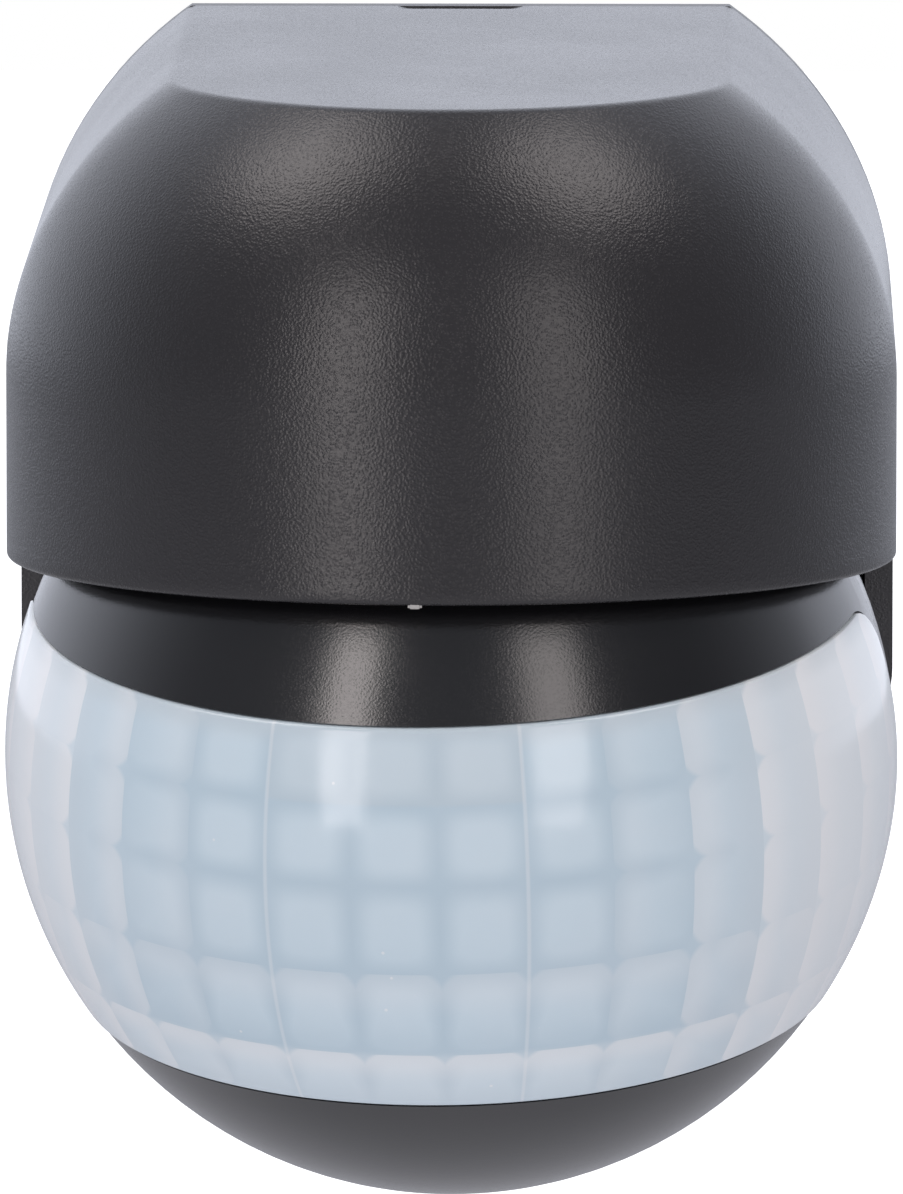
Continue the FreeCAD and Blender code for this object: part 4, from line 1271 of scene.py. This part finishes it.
@dataclass
class GateMark:
    """The pale stub that the mould's gate leaves on the hood's lower rim (millimetres)."""

    place: tuple[float, float, float] = (-2.2, -35.4, 15.98)
    size: tuple[float, float, float] = (1.1, 0.7, 0.5)
    rounding: float = 0.18
    segments: int = 3

    def build(self, material: bpy.types.Material) -> None:
        """Build the stub and put it on the hood.

        Args:
            material: the stub's plastic.
        """
        work = bmesh.new()
        bmesh.ops.create_cube(work, size=1.0)
        bmesh.ops.bevel(work, geom=list(work.edges), offset=self.rounding,
                        segments=self.segments, affect="EDGES")
        mesh = bpy.data.meshes.new("hood_gate_mark")
        work.to_mesh(mesh)
        work.free()
        scale = Matrix.Diagonal([length * MM for length in self.size] + [1.0])
        mesh.transform(Matrix.Translation(BALL + Vector(self.place) * MM) @ scale)
        thing = tidy_mesh(link("hood_gate_mark", mesh), merge=1e-7)
        finish_piece(thing, "wall_base_set", material, "housing_black")


# ---------------------------------------------------------------- studio
@dataclass(frozen=True)
class Softbox:
    """A soft panel that faces the sensor (metres, degrees and watts).

    It stands at turn round the sensor, 0 straight in front and positive to the right, and reaches
    from the elevation low to high.
    """

    name: str
    turn: float
    low: float
    high: float
    wide: float
    power: float
    colour: tuple[float, float, float] = (1.0, 0.93, 0.915)
    reach: float = 1.2

    def hang(self) -> None:
        """Put the panel into the scene."""
        middle, turn = math.radians((self.low + self.high) / 2), math.radians(self.turn)
        data = bpy.data.lights.new(self.name, "AREA")
        data.shape = "RECTANGLE"
        data.size = self.wide
        data.size_y = 2 * self.reach * math.tan(math.radians((self.high - self.low) / 2))
        data.energy = self.power
        data.color = self.colour
        thing = link(self.name, data)
        away = Vector((math.sin(turn) * math.cos(middle), -math.cos(turn) * math.cos(middle),
                       math.sin(middle)))
        thing.location = BALL + away * self.reach
        thing.rotation_mode = "QUATERNION"
        thing.rotation_quaternion = (-away).to_track_quat("-Z", "Y")


@dataclass
class Studio:
    """Camera, floor, tent and lights (metres and degrees)."""

    camera_turn: float = 1.1
    camera_reach: float = 1.150
    camera_height: float = 0.119
    aim: tuple[float, float, float] = (0.0, -0.040, -0.0165)
    focal_length: float = 431.0
    sensor_width: float = 36.0
    clip: tuple[float, float] = (0.05, 20.0)
    floor_height: float = -0.30
    floor_size: float = 8.0
    floor_tones: tuple[float, float] = (0.56, 0.60)
    floor_glow: float = 0.05
    tent_front: float = 0.24
    tent_back: float = 1.2
    tent_over: float = 0.2
    tent_right: float = 0.62
    tent_low: float = 0.7
    tent_tint: tuple[float, float, float] = (0.93, 0.97, 1.09)
    softboxes: tuple[Softbox, ...] = (
        Softbox("left_strip", -26.4, -13, 36, 0.24, 3.7),
        Softbox("right_strip", 28.4, -13, 36, 0.30, 2.75),
        Softbox("left_overhead", -74, 47, 75, 0.52, 3.9),
        Softbox("right_overhead", 63, 48, 76, 0.50, 3.3))

    def camera(self) -> None:
        """Put the camera a long way in front, a little above the roof."""
        data = bpy.data.cameras.new("camera")
        data.lens = self.focal_length
        data.sensor_width = self.sensor_width
        data.clip_start, data.clip_end = self.clip
        thing = link("camera", data)
        turn = math.radians(self.camera_turn)
        target = Vector(self.aim)
        place = Vector((self.camera_reach * math.sin(turn),
                        target.y - self.camera_reach * math.cos(turn), self.camera_height))
        thing.location = place
        thing.rotation_mode = "QUATERNION"
        thing.rotation_quaternion = (target - place).to_track_quat("-Z", "Y")
        bpy.context.scene.camera = thing

    def floor(self) -> None:
        """Lay a large pale floor below the sensor, which is clear when seen from below."""
        bpy.ops.mesh.primitive_plane_add(size=self.floor_size, location=(0, 0, self.floor_height))
        thing = bpy.context.object
        thing.name = "floor"
        material, tree, shader, place = start_material("floor_paper")
        tone = tree.ramp(tree.noise(place, 3.0), 0.3, 0.7)
        dark, light = ((grey, grey, grey + 0.01, 1.0) for grey in self.floor_tones)
        tree.feed(shader.inputs["Base Color"], tree.blend(tone, dark, light))
        shader.inputs["Roughness"].default_value = 0.9
        shader.inputs["Emission Color"].default_value = (1.0, 1.0, 1.0, 1.0)
        lamp = tree.add("ShaderNodeLightPath")
        tree.feed(shader.inputs["Emission Strength"],
                  tree.ramp(lamp.outputs["Is Camera Ray"], 0.0, 1.0, self.floor_glow, 1.0))
        clear = tree.add("ShaderNodeBsdfTransparent")
        under = tree.add("ShaderNodeNewGeometry").outputs["Backfacing"]
        mixed = tree.add("ShaderNodeMixShader", {0: under, 1: shader.outputs[0],
                                                 2: clear.outputs[0]})
        tree.feed(material.node_tree.nodes["Material Output"].inputs["Surface"],
                  mixed.outputs[0])
        thing.data.materials.append(material)

    def surroundings(self) -> None:
        """Surround the sensor with a white tent, bright behind and dim in front."""
        world = bpy.data.worlds.new("tent")
        bpy.context.scene.world = world
        world.use_nodes = True
        tree = Tree(world.node_tree)
        world.node_tree.nodes.clear()
        split = tree.add("ShaderNodeSeparateXYZ",
                         {0: tree.add("ShaderNodeTexCoord").outputs["Generated"]})
        depth = tree.ramp(split.outputs["Y"], -0.35, 0.85, self.tent_front, self.tent_back)
        over = tree.ramp(split.outputs["Z"], 0.0, 0.5, 0.0, self.tent_over)
        behind = tree.ramp(split.outputs["Y"], 0.05, 0.6)
        dim = tree.math("MULTIPLY",
                        tree.ramp(split.outputs["X"], 0.25, 0.95, 1.0, self.tent_right),
                        tree.ramp(split.outputs["Z"], -0.35, 0.05, self.tent_low, 1.0))
        fade = tree.math("MAXIMUM", dim, behind)
        glow = tree.math("ADD", tree.math("MULTIPLY", depth, fade),
                         tree.math("MULTIPLY", over, behind))
        path = tree.add("ShaderNodeLightPath").outputs["Is Camera Ray"]
        strength = tree.math("ADD", tree.math("MULTIPLY", glow, tree.math("SUBTRACT", 1.0, path)),
                             path)
        colour = tree.blend(path, self.tent_tint + (1.0,), (1.0, 1.0, 1.0, 1.0))
        back = tree.add("ShaderNodeBackground", {"Color": colour, "Strength": strength})
        tree.add("ShaderNodeOutputWorld", {"Surface": back.outputs[0]})

    def build(self) -> None:
        """Set up the whole studio."""
        self.camera()
        self.floor()
        self.surroundings()
        for softbox in self.softboxes:
            softbox.hang()
        settings = bpy.context.scene.view_settings
        settings.view_transform = "Standard"
        settings.look = "None"
        settings.exposure = 0.0
        settings.gamma = 1.0


# ---------------------------------------------------------------- the whole sensor
def dress_nodes() -> None:
    """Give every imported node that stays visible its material."""
    made: dict[str, bpy.types.Material] = {}
    for name, thing in frame["nodes"].items():
        finish = NODE_FINISH[name]
        if finish.name not in made:
            made[finish.name] = finish.make()
        thing.data.materials.clear()
        thing.data.materials.append(made[finish.name])
        log.info("%s wears %s", name, finish.name)


def main() -> None:
    """Build the sensor's looks and the studio."""
    logging.basicConfig(level=logging.INFO, format="%(message)s")
    dress_nodes()
    Hood().build(HOUSING.make())
    Lens().build(Milky().make())
    Knobs().build(KNOB.make())
    GateMark().build(GATE.make())
    Studio().build()


if __name__ == "__main__":
    main()
